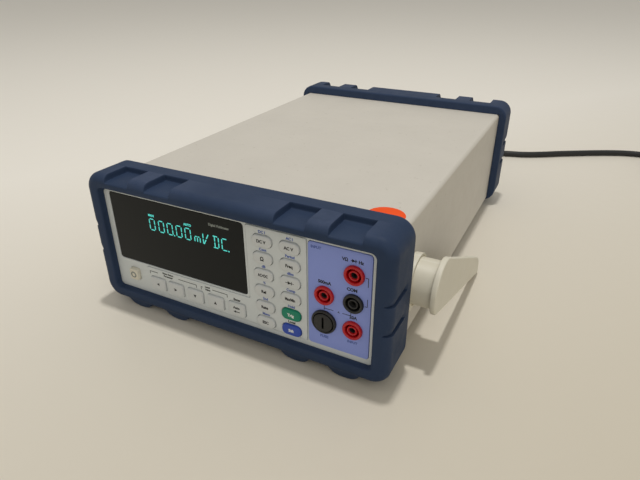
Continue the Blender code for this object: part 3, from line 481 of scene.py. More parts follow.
def mains_lead():
    """The lead from the connector, along the table, round its coil and on to the plug."""
    points = list(LEAD_ROUTE)
    points += [coil_point(step / COIL_STEPS) for step in range(1, int(COIL_TURNS * COIL_STEPS) + 1)]
    points += TAIL_ROUTE
    data = bpy.data.curves.new("mains_cord", "CURVE")
    data.dimensions = "3D"
    data.resolution_u = 5
    data.bevel_depth = CORD_R
    data.bevel_resolution = 5
    data.use_fill_caps = True
    spline = data.splines.new("BEZIER")
    spline.bezier_points.add(len(points) - 1)
    for knot, point in zip(spline.bezier_points, points):
        knot.co = point
        knot.handle_left_type = "AUTO"
        knot.handle_right_type = "AUTO"
    data.materials.append(LOOKS["cord_black"])
    cord = add_object("mains_cord", data)
    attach(cord, "case")
    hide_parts("mains_lead", "lead_coil", "lead_end")
    return cord


def lead_tie():
    """The hook-and-loop band that holds the coil, round all its turns at one place."""
    angle = math.radians(215)
    out = Vector((math.cos(angle), math.sin(angle), 0.0))
    along = Vector((-out[1], out[0], 0.0))
    inner, outer = COIL_OUTER - 5 * CORD_R - 0.0004, COIL_OUTER + CORD_R + 0.0004
    high = 4 * CORD_R + 0.0008
    centre = Vector((*COIL_CENTRE, high / 2)) + out * (inner + outer) / 2
    mesh = bmesh.new()
    rings = []
    half_wide, thick = 0.0055, 0.0011
    crown = thick + 0.0002
    for width, grow in ((-1, 0.0), (-1, thick), (-0.85, crown), (0.85, crown), (1, thick), (1, 0.0)):
        ring = []
        for u, v in rounded_rectangle((outer - inner) / 2 + grow, high / 2 + grow * 0.5, 0.0034 + grow, 6):
            level = max(0.0001, centre[2] + v)
            spot = centre + out * u + along * width * half_wide
            ring.append((spot[0], spot[1], level))
        rings.append(ring)
    loft(mesh, rings, closed=True)
    return piece("lead_tie", mesh, ["black_plastic"])


def strain_relief(start, long, ribs, widths, cut, plain):
    """The rings of a tapered, slotted strain relief; the plain rib is the one without a slot."""
    rings = []
    for rib in range(ribs):
        wide = widths[0] + (widths[1] - widths[0]) * rib / (ribs - 1)
        narrow = wide if rib == plain else wide - cut
        for radius, share in ((wide, 0.05), (wide, 0.60), (narrow, 0.66), (narrow, 0.97)):
            rings.append((radius, radius, radius - 0.0001, start + long * (rib + share) / ribs))
    return rings


def connector():
    """The moulded connector in the inlet, with grip ribs and a tapered, slotted strain relief."""
    # each ring: half its width, half its height, its corner's radius and its y
    rings = [
        (0.0118, 0.0081, 0.0010, 0.1540), (0.0120, 0.0083, 0.0010, 0.1700), (0.0136, 0.0096, 0.0026, 0.1701),
        (0.0140, 0.0100, 0.0030, 0.1705), (0.0140, 0.0100, 0.0030, 0.1780), (0.0134, 0.0096, 0.0030, 0.1786),
        (0.0134, 0.0096, 0.0030, 0.1800), (0.0140, 0.0100, 0.0030, 0.1806), (0.0140, 0.0100, 0.0030, 0.1825),
        (0.0134, 0.0096, 0.0030, 0.1831), (0.0134, 0.0096, 0.0030, 0.1845), (0.0140, 0.0100, 0.0030, 0.1851),
        (0.0140, 0.0100, 0.0030, 0.1900), (0.0132, 0.0098, 0.0036, 0.1945), (0.0105, 0.0088, 0.0044, 0.1990),
        (0.0075, 0.0070, 0.0050, 0.2025), (0.0062, 0.0061, 0.0058, 0.2040),
    ]
    rings += strain_relief(0.2048, 0.0278, 6, (0.0060, 0.0043), 0.0009, 5)
    mesh = bmesh.new()
    made = []
    for half_w, half_h, corner, y in rings:
        made.append([(x, y, z) for x, z in rounded_rectangle(half_w, half_h, corner, 6, (INLET_X, INLET_Z))])
    loft(mesh, made)
    return piece("line_connector", mesh, ["black_plastic"], "case", ["mains_connector"])


def plug():
    """The moulded plug on the far end, with a tapered strain relief, two blades and the earth pin."""
    low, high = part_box("mains_plug")
    x, z = TAIL_ROUTE[-1][0], TAIL_ROUTE[-1][2]
    start = high[1] + 0.0004
    rings = strain_relief(0.0, 0.0240, 5, (0.0044, 0.0062), 0.0007, 0)
    rings += [
        (0.0090, 0.0080, 0.0060, 0.0252), (0.0118, 0.0100, 0.0060, 0.0275), (0.0128, 0.0114, 0.0056, 0.0310),
        (0.0130, 0.0118, 0.0053, 0.0350), (0.0126, 0.0113, 0.0050, 0.0400), (0.0129, 0.0117, 0.0053, 0.0450),
        (0.0130, 0.0118, 0.0053, 0.0500), (0.0126, 0.0114, 0.0050, 0.0517), (0.0116, 0.0104, 0.0045, 0.0522),
    ]
    mesh = bmesh.new()
    made = []
    for half_w, half_h, corner, along in rings:
        outline = rounded_rectangle(half_w, half_h, corner, 6, (x, z))
        made.append([(px, start - along, pz) for px, pz in outline])
    loft(mesh, made)
    face = start - 0.0521
    tip = low[1]
    for side in (-1, 1):
        blade = []
        centre = (x + side * 0.0064, z + 0.0040)
        thick, tall = 0.00075, 0.0032
        stations = ((thick, tall, face + 0.001), (thick, tall, tip + 0.0012), (0.00035, 0.0027, tip + 0.0001))
        for half_t, half_h, y in stations:
            blade.append([(px, y, pz) for px, pz in rounded_rectangle(half_t, half_h, 0.0003, 3, centre)])
        loft(mesh, blade, look_number=1)
    pin = [(0.0, face + 0.001), (0.0024, face + 0.001), (0.0024, tip + 0.0018), (0.0017, tip + 0.0004)]
    pin.append((0.0, tip + 0.0001))
    add_turned(mesh, pin, 20, "y", (x, 0.0, z - 0.0072), 1)
    return piece("line_plug", mesh, ["black_plastic", "steel"], "case", ["mains_plug"])


camera()
mains_cord = mains_lead()
cord_pieces = [connector(), plug(), lead_tie()]

# ---------------------------------------------------------------- bumpers

POCKETS = ((0.0385, 0.0590), (0.0735, 0.0940))
POCKET_DEPTH = 0.004
POCKET_LONG = 0.016
FOOT_HIGH = 0.0045
GROOVES = (0.0455, 0.0655)
GROOVE_HALF = 0.0033
GROOVE_DEPTH = 0.003
GROOVE_LONG = 0.0180
WALL_SOFT = 0.0008
BUMPER_CORNER = 0.012
BUMPER_ROUND = 0.006
LIP_HALF_W, LIP_LOW, LIP_HIGH = 0.1022, 0.0146, 0.0944  # the mouth of the lip
LIP_CORNER, LIP_ROUND = 0.0036, 0.0013
GROOVE_SAMPLES = (-1.0, -0.95, -0.90, -0.85, -0.78, -0.72, -0.66, -0.60, -0.40, -0.10, 0.20, 0.60, 1.0)


def change(value, at, soft):
    """0 well below a place and 1 well above it, with a smooth change that is soft wide."""
    t = max(0.0, min(1.0, (value - at) / soft + 0.5))
    return t * t * (3 - 2 * t)


def pocket_depth(x, back):
    deep = 0.0
    for start, end in POCKETS:
        deep = max(deep, change(abs(x), start, WALL_SOFT) * (1 - change(abs(x), end, WALL_SOFT)))
    return POCKET_DEPTH * deep * (1 - change(back, POCKET_LONG, WALL_SOFT))


def foot_drop(x, back):
    """How much of the way down to the table the half-moon feet under the bumper reach."""
    drop = 0.0
    for start, end in POCKETS:
        half = (end - start) / 2
        off = abs(abs(x) - (start + end) / 2) / half
        if off < 1:
            drop = max(drop, (1 - off**2.6) ** 0.6)
    return drop * min(change(back, -0.0026, 0.0024), 1 - change(back, BUMPER_REACH - 0.003, 0.004))


def groove_depth(z, back):
    """A groove that slopes in from above and ends in a narrow slot over a sharp ledge."""
    deep = 0.0
    for at in GROOVES:
        t = (z - at) / GROOVE_HALF
        if -1 <= t <= 1:
            slope = 0.42 * (1 - change(t, 0.20, 1.6))
            slot = 0.38 * (1 - change(t, -0.66, 0.14))
            deep = max(deep, (slope + slot) * change(t, -0.90, 0.10))
    return GROOVE_DEPTH * deep * (1 - change(back, GROOVE_LONG, 0.0016))


def bumper_ring(half_w, low, high, corner, y, back, reach, groove_reach):
    """One ring of a bumper. The reaches, 0 to 1, say how much of its hollows and feet it takes."""
    edges = []
    feet = []
    for start, end in POCKETS:
        for share in (-0.5, -0.3, -0.1, 0.1, 0.3, 0.5):
            edges += [start + share * WALL_SOFT, end + share * WALL_SOFT]
        for step in range(13):
            feet.append(start + (end - start) * (1 - math.cos(math.pi * step / 12)) / 2)
    edges.append(0.012)
    sides = [at + GROOVE_HALF * share for at in GROOVES for share in GROOVE_SAMPLES]
    sides.sort()
    edges = sorted([-x for x in edges] + edges)
    feet = sorted([-x for x in feet] + feet)
    points = []

    def arc(side_x, centre_z, start):
        for step in range(13):
            angle = math.radians(start + 7.5 * step)
            x = side_x * (half_w - corner) + corner * math.cos(angle)
            points.append((x, y, centre_z + corner * math.sin(angle)))

    on_table = low if reach else 0.0
    points += [(x, y, low - foot_drop(x, back) * on_table) for x in feet]
    arc(1, low + corner, -90)
    points += [(half_w - groove_depth(z, back) * groove_reach, y, z) for z in sides]
    arc(1, high - corner, 0)
    points += [(x, y, high - pocket_depth(x, back) * reach) for x in reversed(edges)]
    arc(-1, high - corner, 90)
    points += [(groove_depth(z, back) * groove_reach - half_w, y, z) for z in reversed(sides)]
    arc(-1, low + corner, 180)
    return points


def bumper(facing):
    """A rubber ring round one end of the case; facing is -1 at the front and 1 at the rear."""
    low, high = FOOT_HIGH, BUMPER_HIGH
    inset = (0.0006, 0.0003)
    rings = []

    def ring(half_w, bottom, top, corner, back, reach=0.0, groove_reach=0.0):
        y = facing * (REAR_Y - back)
        rings.append(bumper_ring(half_w, bottom, top, corner, y, back, reach, groove_reach))

    sleeve = (CASE_HALF_W + inset[1], CASE_LOW - inset[1], CASE_HIGH + inset[1], inset[0])
    ring(*sleeve, BUMPER_REACH)
    ring(*sleeve, -inset[1])
    # the inner wall of the lip leans outwards, and its edge is rounded
    ring(0.1016, 0.0152, 0.0924, 0.0030, -inset[1])
    ring(0.1017, 0.0151, 0.0926, 0.0031, -0.0008)
    ring(0.1021, 0.0147, 0.0942, 0.0035, 0.0016 - BUMPER_LIP)
    for sine, cosine in quarter(18):
        grow = LIP_ROUND * (1 - cosine)
        back = LIP_ROUND * (1 - sine) - BUMPER_LIP
        ring(LIP_HALF_W + grow, LIP_LOW - grow, LIP_HIGH + grow, LIP_CORNER + grow, back)
    for reach, cosine in quarter(6):
        grow = BUMPER_ROUND * (1 - reach)
        back = BUMPER_ROUND * (1 - cosine) - BUMPER_LIP
        at_side = min(1.0, 1.7 * reach)
        ring(BUMPER_HALF_W - grow, low + grow, high - grow, BUMPER_CORNER - grow, back, reach, at_side)
    backs = [0.0014, 0.0019, 0.0027, 0.0036, 0.0050, 0.0085, 0.0120]
    backs += [POCKET_LONG + WALL_SOFT * share for share in (-0.6, -0.4, -0.2, 0.0, 0.2, 0.4, 0.6)]
    backs += [0.0190, 0.0208, 0.0214, 0.0220, 0.0226, 0.0232, 0.0240, 0.0249, 0.0258]
    for back in backs:
        ring(BUMPER_HALF_W, low, high, BUMPER_CORNER, back, 1.0, 1.0)
    edge = 0.0018
    for sine, cosine in quarter(15, 15):
        grow = edge * (1 - cosine)
        back = BUMPER_REACH - edge * (1 - sine)
        ring(BUMPER_HALF_W - grow, low + grow, high - grow, BUMPER_CORNER - grow, back, 1.0)
    mesh = bmesh.new()
    loft(mesh, rings, closed=True)
    end = "front" if facing < 0 else "rear"
    piece(f"{end}_guard", mesh, ["bumper_rubber"], "case", [f"{end}_bumper"], smooth_below=50.0)


# ---------------------------------------------------------------- the case


def cover():
    """The folded top cover, with round bends."""
    outer, wall, bend = CASE_HALF_W, 0.0014, 0.0030
    outline = [(-outer + wall, CASE_LOW + 0.0001), (-outer, CASE_LOW + 0.0001)]
    for start, side in ((180, -1), (90, 1)):
        for step in range(11):
            angle = math.radians(start - 9 * step)
            x = side * (outer - bend) + bend * math.cos(angle)
            outline.append((x, CASE_HIGH - bend + bend * math.sin(angle)))
    outline += [(outer, CASE_LOW + 0.0001), (outer - wall, CASE_LOW + 0.0001)]
    for start, side in ((0, 1), (90, -1)):
        for step in range(7):
            angle = math.radians(start + 15 * step)
            x = side * (outer - bend) + (bend - wall) * math.cos(angle)
            outline.append((x, CASE_HIGH - bend + (bend - wall) * math.sin(angle)))
    mesh = bmesh.new()
    loft(mesh, [[(x, y, z) for x, z in outline] for y in (COVER_FRONT, COVER_REAR)])
    piece("folded_cover", mesh, ["case_paint"], "case", ["top_cover"])


def sticker():
    """A blank orange inspection dot on the cover."""
    mesh = bmesh.new()
    radius, thick = 0.0120, 0.00015
    profile = [(0.0, 0.0), (radius, 0.0), (radius, thick * 0.6), (radius - thick, thick), (0.0, thick)]
    add_turned(mesh, profile, 64, "z", (0.0900, -0.1274, CASE_HIGH))
    piece("inspection_dot", mesh, ["orange_paper"], slot="case_paint")


# ---------------------------------------------------------------- front panel

WINDOW = (-0.0969, 0.0394, 0.0135, 0.0909)
TERMINALS = (0.0587, 0.0189, 0.0988, 0.0906)
SNUG = 0.0003
ZONE_OUT = 0.0005  # how far the key zone stands out of the panel
ZONE_GROOVE = 0.0003  # the fine groove round it
ZONE_LEFT, ZONE_LOW, ZONE_RIGHT, ZONE_HIGH = -0.0722, 0.0187, 0.0575, 0.0914
ZONE_STEP_X, ZONE_STEP_Z = 0.0158, 0.0377
KEYS = (
    # name, legend on the key, legend under it
    ("key_dc_volts", "DC V", "Cont"), ("key_ac_volts", "AC V", "Period"),
    ("key_ohms", "Ω", "dB"), ("key_frequency", "Freq", "dBm"),
    ("key_ac_plus_dc", "AC+DC", "%"), ("key_diode", "diode", "Comp"),
    ("key_relative", "Rel", "2nd"), ("key_max_min", "Max/Min", "Hold"),
    ("key_rate", "Rate", "Menu"), ("key_trigger", "Trig", ""),
    ("key_escape", "ESC", ""), ("key_shift", "Shift", ""),
)
NAV = (("key_left", "◄"), ("key_right", "►"), ("key_down", "down"), ("key_up", "▲"), ("key_auto", "Auto"))
KEY_HALF_W, KEY_HALF_H, KEY_CORNER = 0.0068, 0.0039, 0.0034
NAV_HALF_W, NAV_HALF_H, NAV_CORNER = 0.0065, 0.0049, 0.0014
POWER_HALF_W, POWER_HALF_H = 0.0038, 0.0044
PANEL_CORNER, RIM_WALL, RIM_CORNER = 0.0022, 0.0018, 0.0010
FRAME_CORNER = 0.002  # of the window and the input plate
LEGEND = 0.0021  # the height of a capital on a key
SECOND_LEGEND = 0.0018  # and of one between the keys


def framed(opening, radius, grow=0.0):
    """The rounded outline of a (low x, low z, high x, high z) opening."""
    half_w, half_h = (opening[2] - opening[0]) / 2, (opening[3] - opening[1]) / 2
    centre = ((opening[0] + opening[2]) / 2, (opening[1] + opening[3]) / 2)
    return rounded_rectangle(half_w + grow, half_h + grow, radius + grow, 6, centre)


def key_openings():
    """The outlines of the openings for the keys."""
    sizes = [(name, KEY_HALF_W, KEY_HALF_H, KEY_CORNER) for name, _, _ in KEYS]
    sizes += [(name, NAV_HALF_W, NAV_HALF_H, NAV_CORNER) for name, _ in NAV]
    outlines = []
    for name, half_w, half_h, corner in sizes:
        outlines.append(rounded_rectangle(half_w + SNUG, half_h + SNUG, corner + SNUG, 6, front_spot(name)))
    return outlines


def zone_outline(grow=0.0):
    """The L-shaped outline of the raised zone, grown outwards."""
    low, high, left, right = ZONE_LOW - grow, ZONE_HIGH + grow, ZONE_LEFT - grow, ZONE_RIGHT + grow
    step_x, step_z = ZONE_STEP_X - grow, ZONE_STEP_Z + grow
    corners = [(left, low), (right, low), (right, high), (step_x, high), (step_x, step_z), (left, step_z)]
    return softened(corners, 0.0014 + grow)


def front():
    """The moulded front: a plate with its rim, and the raised zone round the keys in a fine groove."""
    face, back = -PANEL_Y, -PANEL_BACK
    centre = (0.0, (CASE_LOW + CASE_HIGH) / 2)
    half_w, half_h = CASE_HALF_W - 0.0001, (CASE_HIGH - CASE_LOW) / 2 - 0.0001
    openings = [framed(WINDOW, FRAME_CORNER, SNUG), framed(TERMINALS, FRAME_CORNER, SNUG)]
    openings.append(zone_outline(ZONE_GROOVE))
    power = front_spot("power_button")
    openings.append(rounded_rectangle(POWER_HALF_W + SNUG, POWER_HALF_H + SNUG, 0.0013, 6, power))
    mesh = bmesh.new()
    outer = rounded_rectangle(half_w, half_h, PANEL_CORNER, 6, centre)
    inner = rounded_rectangle(half_w - RIM_WALL, half_h - RIM_WALL, RIM_CORNER, 6, centre)
    add_plate(mesh, [outer, *openings], back, face, 0.0003)
    rim_back = -(COVER_FRONT - SNUG)
    add_plate(mesh, [outer, inner], rim_back, back + 0.0004, 0.0001)
    add_plate(mesh, [zone_outline(), *key_openings()], back, face + ZONE_OUT, 0.00035)
    add_plate(mesh, [zone_outline(3 * ZONE_GROOVE), *key_openings()], back - 0.0006, back + 0.0001, 0.0001)
    piece("moulded_front", mesh, ["panel_plastic"], "case", ["front_panel"])


def key_cap(name, half_w, half_h, corner):
    """A key cap with a rounded edge and a crowned top: its mesh, its middle and how far out its top is."""
    x, z = front_spot(name)
    proud = PANEL_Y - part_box(name)[0][1]
    edge, crown = 0.0007, 0.00012
    rings = [(0.0, 0.0028), (0.0, edge - proud)]
    for turn in (22.5, 45.0, 67.5, 90.0):
        angle = math.radians(turn)
        rings.append((-edge * (1 - math.cos(angle)), edge * (1 - math.sin(angle)) - proud))
    for share in (0.35, 0.7):
        rings.append((-edge - (half_h - edge) * share, -proud - crown * math.sin(share * math.pi / 2) * 0.8))
    made = []
    for grow, along in rings:
        outline = rounded_rectangle(half_w + grow, half_h + grow, max(0.0002, corner + grow), 6, (x, z))
        made.append([(u, PANEL_Y + along, v) for u, v in outline])
    mesh = bmesh.new()
    loft(mesh, made)
    return mesh, x, z, -PANEL_Y + proud + crown * 0.55


def keys():
    """The front keys, each with its printed legend."""
    for name, legend, _ in KEYS:
        mesh, x, z, out = key_cap(name, KEY_HALF_W, KEY_HALF_H, KEY_CORNER)
        z += 0.0001
        if legend == "diode":
            add_bar(mesh, (x - 0.0030, z), (x + 0.0030, z), 0.0004, out, 1)
            add_bar(mesh, (x + 0.0013, z - 0.0011), (x + 0.0013, z + 0.0011), 0.0005, out, 1)
            add_ink(mesh, [(x - 0.0012, z - 0.0012), (x + 0.0012, z), (x - 0.0012, z + 0.0012)], out, 1)
        else:
            squeeze = 0.72 if len(legend) > 4 else 0.95
            tall = LEGEND * (1.25 if legend == "Ω" else 1.0)
            add_words(mesh, legend, x, z, tall, out, 1, squeeze=squeeze)
        slot = {"key_trigger": "key_green", "key_shift": "key_blue"}.get(name, "key_grey")
        ink = "black_ink" if slot == "key_grey" else "white_ink"
        piece(name.replace("key_", "cap_"), mesh, [slot, ink], name, [name])
    for name, legend in NAV:
        mesh, x, z, out = key_cap(name, NAV_HALF_W, NAV_HALF_H, NAV_CORNER)
        half, tall = 0.0012, 0.0019
        arrows = {
            "◄": [(x + half, z - half), (x + half, z + half), (x - half, z)],
            "►": [(x - half, z - half), (x + half, z), (x - half, z + half)],
            "down": [(x - half, z + half), (x, z - half), (x + half, z + half)],
            "▲": [(x - half, z - half), (x + half, z - half), (x, z + half)],
            "Auto": [(x - 0.0006, z - 0.0027), (x - 0.0006, z - 0.0007), (x - 0.0026, z - 0.0017)],
        }
        if legend == "Auto":
            add_words(mesh, legend, x, z + 0.0016, tall, out, 1, squeeze=0.95)
            add_bar(mesh, (x - 0.0008, z - 0.0017), (x + 0.0024, z - 0.0017), 0.0006, out, 1)
        add_ink(mesh, arrows[legend], out, 1)
        piece(name.replace("key_", "cap_"), mesh, ["key_grey", "black_ink"], name, [name])


def power():
    """The cream power button, with a ring moulded on it."""
    mesh, x, z, out = key_cap("power_button", POWER_HALF_W, POWER_HALF_H, 0.0011)
    ring = []
    for step in range(8):
        angle = 2 * math.pi * step / 8
        ring.append((0.0020 + 0.00045 * math.cos(angle), -out + 0.0004 * math.sin(angle)))
    add_turned(mesh, ring, 40, "y", (x, 0.0, z), 1)
    piece("power_cap", mesh, ["handle_cream", "dim_ink"], "power_button", ["power_button"])


def panel_print():
    """The printed words and brackets round the keys."""
    out = -PANEL_Y + ZONE_OUT
    black, blue = 0, 1
    mesh = bmesh.new()
    gap = front_spot("key_dc_volts")[1] - front_spot("key_ohms")[1]
    for column, name in (("DC I", "key_dc_volts"), ("AC I", "key_ac_volts")):
        x, z = front_spot(name)
        add_words(mesh, column, x, z + gap / 2, SECOND_LEGEND, out, blue)
    for name, _, second in KEYS:
        x, z = front_spot(name)
        if second:
            add_words(mesh, second, x, z - gap / 2, SECOND_LEGEND, out, blue)
    x, z = front_spot("key_trigger")
    for words, x, z, height in (
        ("Local", x, z - gap / 2, SECOND_LEGEND),
        ("Menu Select", -0.0535, 0.0361, 0.0014),
        ("Parameter", -0.0535, 0.0340, 0.0014),
        ("Level", -0.0190, 0.0358, 0.0014),
        ("Value", -0.0190, 0.0337, 0.0014),
        ("Enter", front_spot("key_auto")[0], 0.0331, 0.0018),
    ):
        add_words(mesh, words, x, z, height, out, black)
    line = 0.00044
    for left, right, word_left, word_right in (
        (-0.0700, -0.0286, -0.0628, -0.0442),
        (-0.0244, -0.0028, -0.0230, -0.0150),
    ):
        high = 0.0348
        add_bar(mesh, (left, high), (word_left, high), line, out, black)
        add_bar(mesh, (word_right, high), (right, high), line, out, black)
        for x in (left, right):
            add_bar(mesh, (x, high + line / 2), (x, high - 0.0022), line, out, black)
    piece("panel_print", mesh, ["black_ink", "blue_ink"], slot="black_plastic")


# ---------------------------------------------------------------- display

DIGIT_LOW, DIGIT_HIGH = 0.0692, 0.0774
DIGIT_WIDE = 0.0044
STROKE = 0.00075
WINDOW_THICK, PLATE_THICK = 0.0020, 0.0030
ROUND_O = ("bottom", "top", "left_low", "left_high", "right_low", "right_high")
STROKES = {
    "bottom": ((0.12, 0.0), (0.88, 0.0)), "top": ((0.12, 1.0), (0.88, 1.0)),
    "left_low": ((0.0, 0.05), (0.0, 0.47)), "left_high": ((0.0, 0.53), (0.0, 0.95)),
    "right_low": ((1.0, 0.05), (1.0, 0.47)), "right_high": ((1.0, 0.53), (1.0, 0.95)),
    "inner_low": ((0.32, 0.05), (0.32, 0.47)), "inner_high": ((0.32, 0.53), (0.32, 0.95)),
    "slant_low": ((0.08, 0.02), (0.52, 0.46)), "slant_high": ((0.58, 0.54), (1.0, 0.97)),
    "m_left": ((0.0, 0.03), (0.0, 0.45)), "m_middle": ((0.5, 0.03), (0.5, 0.42)),
    "m_right": ((1.0, 0.03), (1.0, 0.45)), "m_top_left": ((0.06, 0.5), (0.46, 0.5)),
    "m_top_right": ((0.54, 0.5), (0.94, 0.5)), "top_long": ((0.02, 1.0), (0.88, 1.0)),
    "bottom_long": ((0.02, 0.0), (0.88, 0.0)),
}
SIGNS = (
    *[(left, 0.0, ROUND_O) for left in (-0.0632, -0.0553, -0.0479, -0.0402, -0.0328)],
    (-0.0252, -0.0002, ("m_left", "m_middle", "m_right", "m_top_left", "m_top_right")),
    (-0.0182, -0.0004, ("left_low", "left_high", "slant_low", "slant_high")),
    (-0.0104, -0.0006, ("top_long", "bottom_long", "right_low", "right_high", "inner_low", "inner_high")),
    (-0.0034, -0.0008, ("top", "bottom", "left_low", "left_high")),
)


def display():
    """The smoked window, and the lit reading that shows through it."""
    face = -PANEL_Y - 0.0002
    mesh = bmesh.new()
    add_plate(mesh, [framed(WINDOW, FRAME_CORNER)], face - WINDOW_THICK, face, 0.00025)
    piece("smoked_window", mesh, ["window"], "case", ["display_window"])

    mesh = bmesh.new()
    high = DIGIT_HIGH - DIGIT_LOW
    for left, shift, strokes in SIGNS:
        for name in strokes:
            ends = []
            for u, v in STROKES[name]:
                ends.append((left + u * DIGIT_WIDE, DIGIT_LOW + shift + v * high))
            add_bar(mesh, *ends, STROKE, face, point=STROKE * 0.4)
    for x, z in ((-0.0424, DIGIT_LOW), (0.0016, DIGIT_LOW - 0.0008)):
        add_bar(mesh, (x - 0.0005, z), (x + 0.0005, z), 0.0009, face)
    add_words(mesh, "MAN", -0.0610, 0.0801, 0.0016, face)
    add_words(mesh, "AUTO", -0.0302, 0.0801, 0.0016, face)
    piece("lit_reading", mesh, ["glow"], slot="window")

    mesh = bmesh.new()
    add_words(mesh, "Digital Multimeter", 0.0030, 0.0846, 0.0017, face, align="RIGHT", squeeze=0.92)
    piece("window_print", mesh, ["dim_ink"], slot="window")


# ---------------------------------------------------------------- terminals

PLATE_OUT = 0.0003
JACKS = ("jack_volts", "jack_common", "jack_20_amp", "jack_milliamp")
JACK_BODY_R, FUSE_BODY_R = 0.0055, 0.0075


def circle(radius, centre, steps=48):
    turns = [2 * math.pi * step / steps for step in range(steps)]
    return [(centre[0] + radius * math.cos(turn), centre[1] + radius * math.sin(turn)) for turn in turns]


def terminals():
    """The lavender plate round the inputs, with its printed lines and units."""
    face = -PANEL_Y + PLATE_OUT
    holes = [circle(JACK_BODY_R + SNUG, front_spot(name)) for name in JACKS]
    holes.append(circle(FUSE_BODY_R + SNUG, front_spot("fuse_holder")))
    mesh = bmesh.new()
    add_plate(mesh, [framed(TERMINALS, FRAME_CORNER), *holes], face - PLATE_THICK, face, 0.0002)
    piece("input_plate", mesh, ["terminal_plate"], "case", ["terminal_plate"])

    volts, common, amps, milli = [front_spot(name) for name in JACKS]
    fuse = front_spot("fuse_holder")
    above, tall, line = 0.0090, 0.0021, 0.0004
    black, blue = 0, 1
    mesh = bmesh.new()
    for words, x, z, height, look_number, align, squeeze in (
        ("VΩ", volts[0] - 0.0078, volts[1] + above, tall, black, "LEFT", 0.9),
        ("Hz", volts[0] + 0.0022, volts[1] + above, tall, black, "LEFT", 0.9),
        ("COM", common[0] - 0.0012, common[1] + above, tall, black, "CENTER", 1.0),
        ("20A", amps[0], amps[1] + above, tall, black, "CENTER", 1.0),
        ("500mA", milli[0], milli[1] + above, tall, black, "CENTER", 1.0),
        ("A", (milli[0] + common[0]) / 2, fuse[1] + 0.0098, 0.0012, black, "CENTER", 1.0),
        ("INPUT", TERMINALS[0] + 0.0018, TERMINALS[3] - 0.0030, 0.0017, blue, "LEFT", 1.0),
        ("FUSE", fuse[0], fuse[1] - 0.0112, 0.0019, blue, "CENTER", 1.0),
        ("INPUT", amps[0], amps[1] - 0.0092, 0.0017, blue, "CENTER", 1.0),
    ):
        add_words(mesh, words, x, z, height, face, look_number, align=align, squeeze=squeeze)
    left, high = volts[0] - 0.0018, volts[1] + above
    add_ink(mesh, [(left, high - 0.0011), (left + 0.0022, high), (left, high + 0.0011)], face)
    add_bar(mesh, (left - 0.0008, high), (left + 0.0032, high), 0.0004, face)
    add_bar(mesh, (left + 0.0023, high - 0.0011), (left + 0.0023, high + 0.0011), 0.0005, face)
    right = volts[0] + 0.0085
    over_fuse, beside = fuse[1] + 0.0098, common[0] - 0.0015
    for start, end in (
        ((volts[0] + 0.0069, volts[1]), (right, volts[1])),
        ((right, volts[1]), (right, volts[1] - 0.0058)),
        ((right, common[1] + 0.0052), (right, common[1])),
        ((right, common[1]), (common[0] + 0.0069, common[1])),
        ((milli[0], milli[1] - 0.0070), (milli[0], fuse[1] + 0.0088)),
        ((milli[0], over_fuse), (milli[0] + 0.0060, over_fuse)),
        ((common[0] - 0.0070, over_fuse), (beside, over_fuse)),
        ((beside, over_fuse), (beside, common[1] - 0.0070)),
    ):
        add_bar(mesh, start, end, line, face)
    piece("input_print", mesh, ["black_ink", "blue_ink"], slot="black_plastic")


def jacks():
    """The input jacks: a flange, a groove for the plug's shroud, and the contact in its own collar."""
    face = PANEL_Y - PLATE_OUT
    # each point is a radius and a distance behind the plate's face
    body = [
        (0.0020, 0.0180), (0.0020, -0.0004), (0.0022, -0.0010), (0.0025, -0.0013), (0.0030, -0.0013),
        (0.0033, -0.0010), (0.0034, -0.0004), (0.0034, 0.0120), (0.0044, 0.0120), (0.0044, -0.0006),
        (0.0045, -0.0013), (0.0048, -0.0018), (0.0053, -0.0020), (0.0058, -0.0019), (0.0062, -0.0015),
        (0.0064, -0.0008), (0.0064, 0.0001), (0.0055, 0.0003), (0.0055, 0.0180),
    ]
    contact = [
        (0.0, 0.0120), (0.0014, 0.0120), (0.0014, 0.0), (0.0016, -0.0004), (0.0018, -0.0004),
        (0.0019, 0.0), (0.0019, 0.0170), (0.0, 0.0170),
    ]
    for name in JACKS:
        x, z = front_spot(name)
        mesh = bmesh.new()
        add_turned(mesh, body, 48, "y", (x, face, z))
        # the metal contact is coloured near-black: painted shade deep in the hole
        add_turned(mesh, contact, 24, "y", (x, face, z), 1)
        slot = "black_plastic" if name == "jack_common" else "jack_red"
        piece(name.replace("jack_", "socket_"), mesh, [slot, "hole_dark"], "case", [name])


def current_fuse():
    """The fuse holder's round rim, and its cap with a screwdriver slot."""
    x, z = front_spot("fuse_holder")
    face = PANEL_Y - PLATE_OUT
    mesh = bmesh.new()
    rim = [
        (0.0067, 0.0100), (0.0067, -0.0012), (0.0069, -0.0017), (0.0072, -0.0019), (0.0076, -0.0019),
        (0.0080, -0.0016), (0.0082, -0.0010), (0.0082, 0.0), (0.0075, 0.0003), (0.0075, 0.0100),
    ]
    add_turned(mesh, rim, 64, "y", (x, face, z))
    floor = [(0.0, 0.0085), (0.0066, 0.0085), (0.0066, 0.0095), (0.0, 0.0095)]
    add_turned(mesh, floor, 48, "y", (x, face, z))
    piece("fuse_rim", mesh, ["black_plastic"], "case", ["fuse_holder"])
    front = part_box("fuse_cap")[0][1]
    mesh = bmesh.new()
    cap = [(0.0, 0.0), (0.0064, 0.0), (0.0064, 0.0085), (0.0, 0.0085)]
    add_turned(mesh, rounded_profile(cap, 0.0006), 64, "y", (x, front, z))
    made = piece("fuse_knob", mesh, ["black_plastic"], "fuse_cap", ["fuse_cap"])
    tool = bmesh.new()
    slot = rounded_rectangle(0.0007, 0.0042, 0.0005, 4, (x, z))
    loft(tool, [[(u, y, v) for u, v in slot] for y in (front - 0.001, front + 0.0024)])
    cut(made, tool)


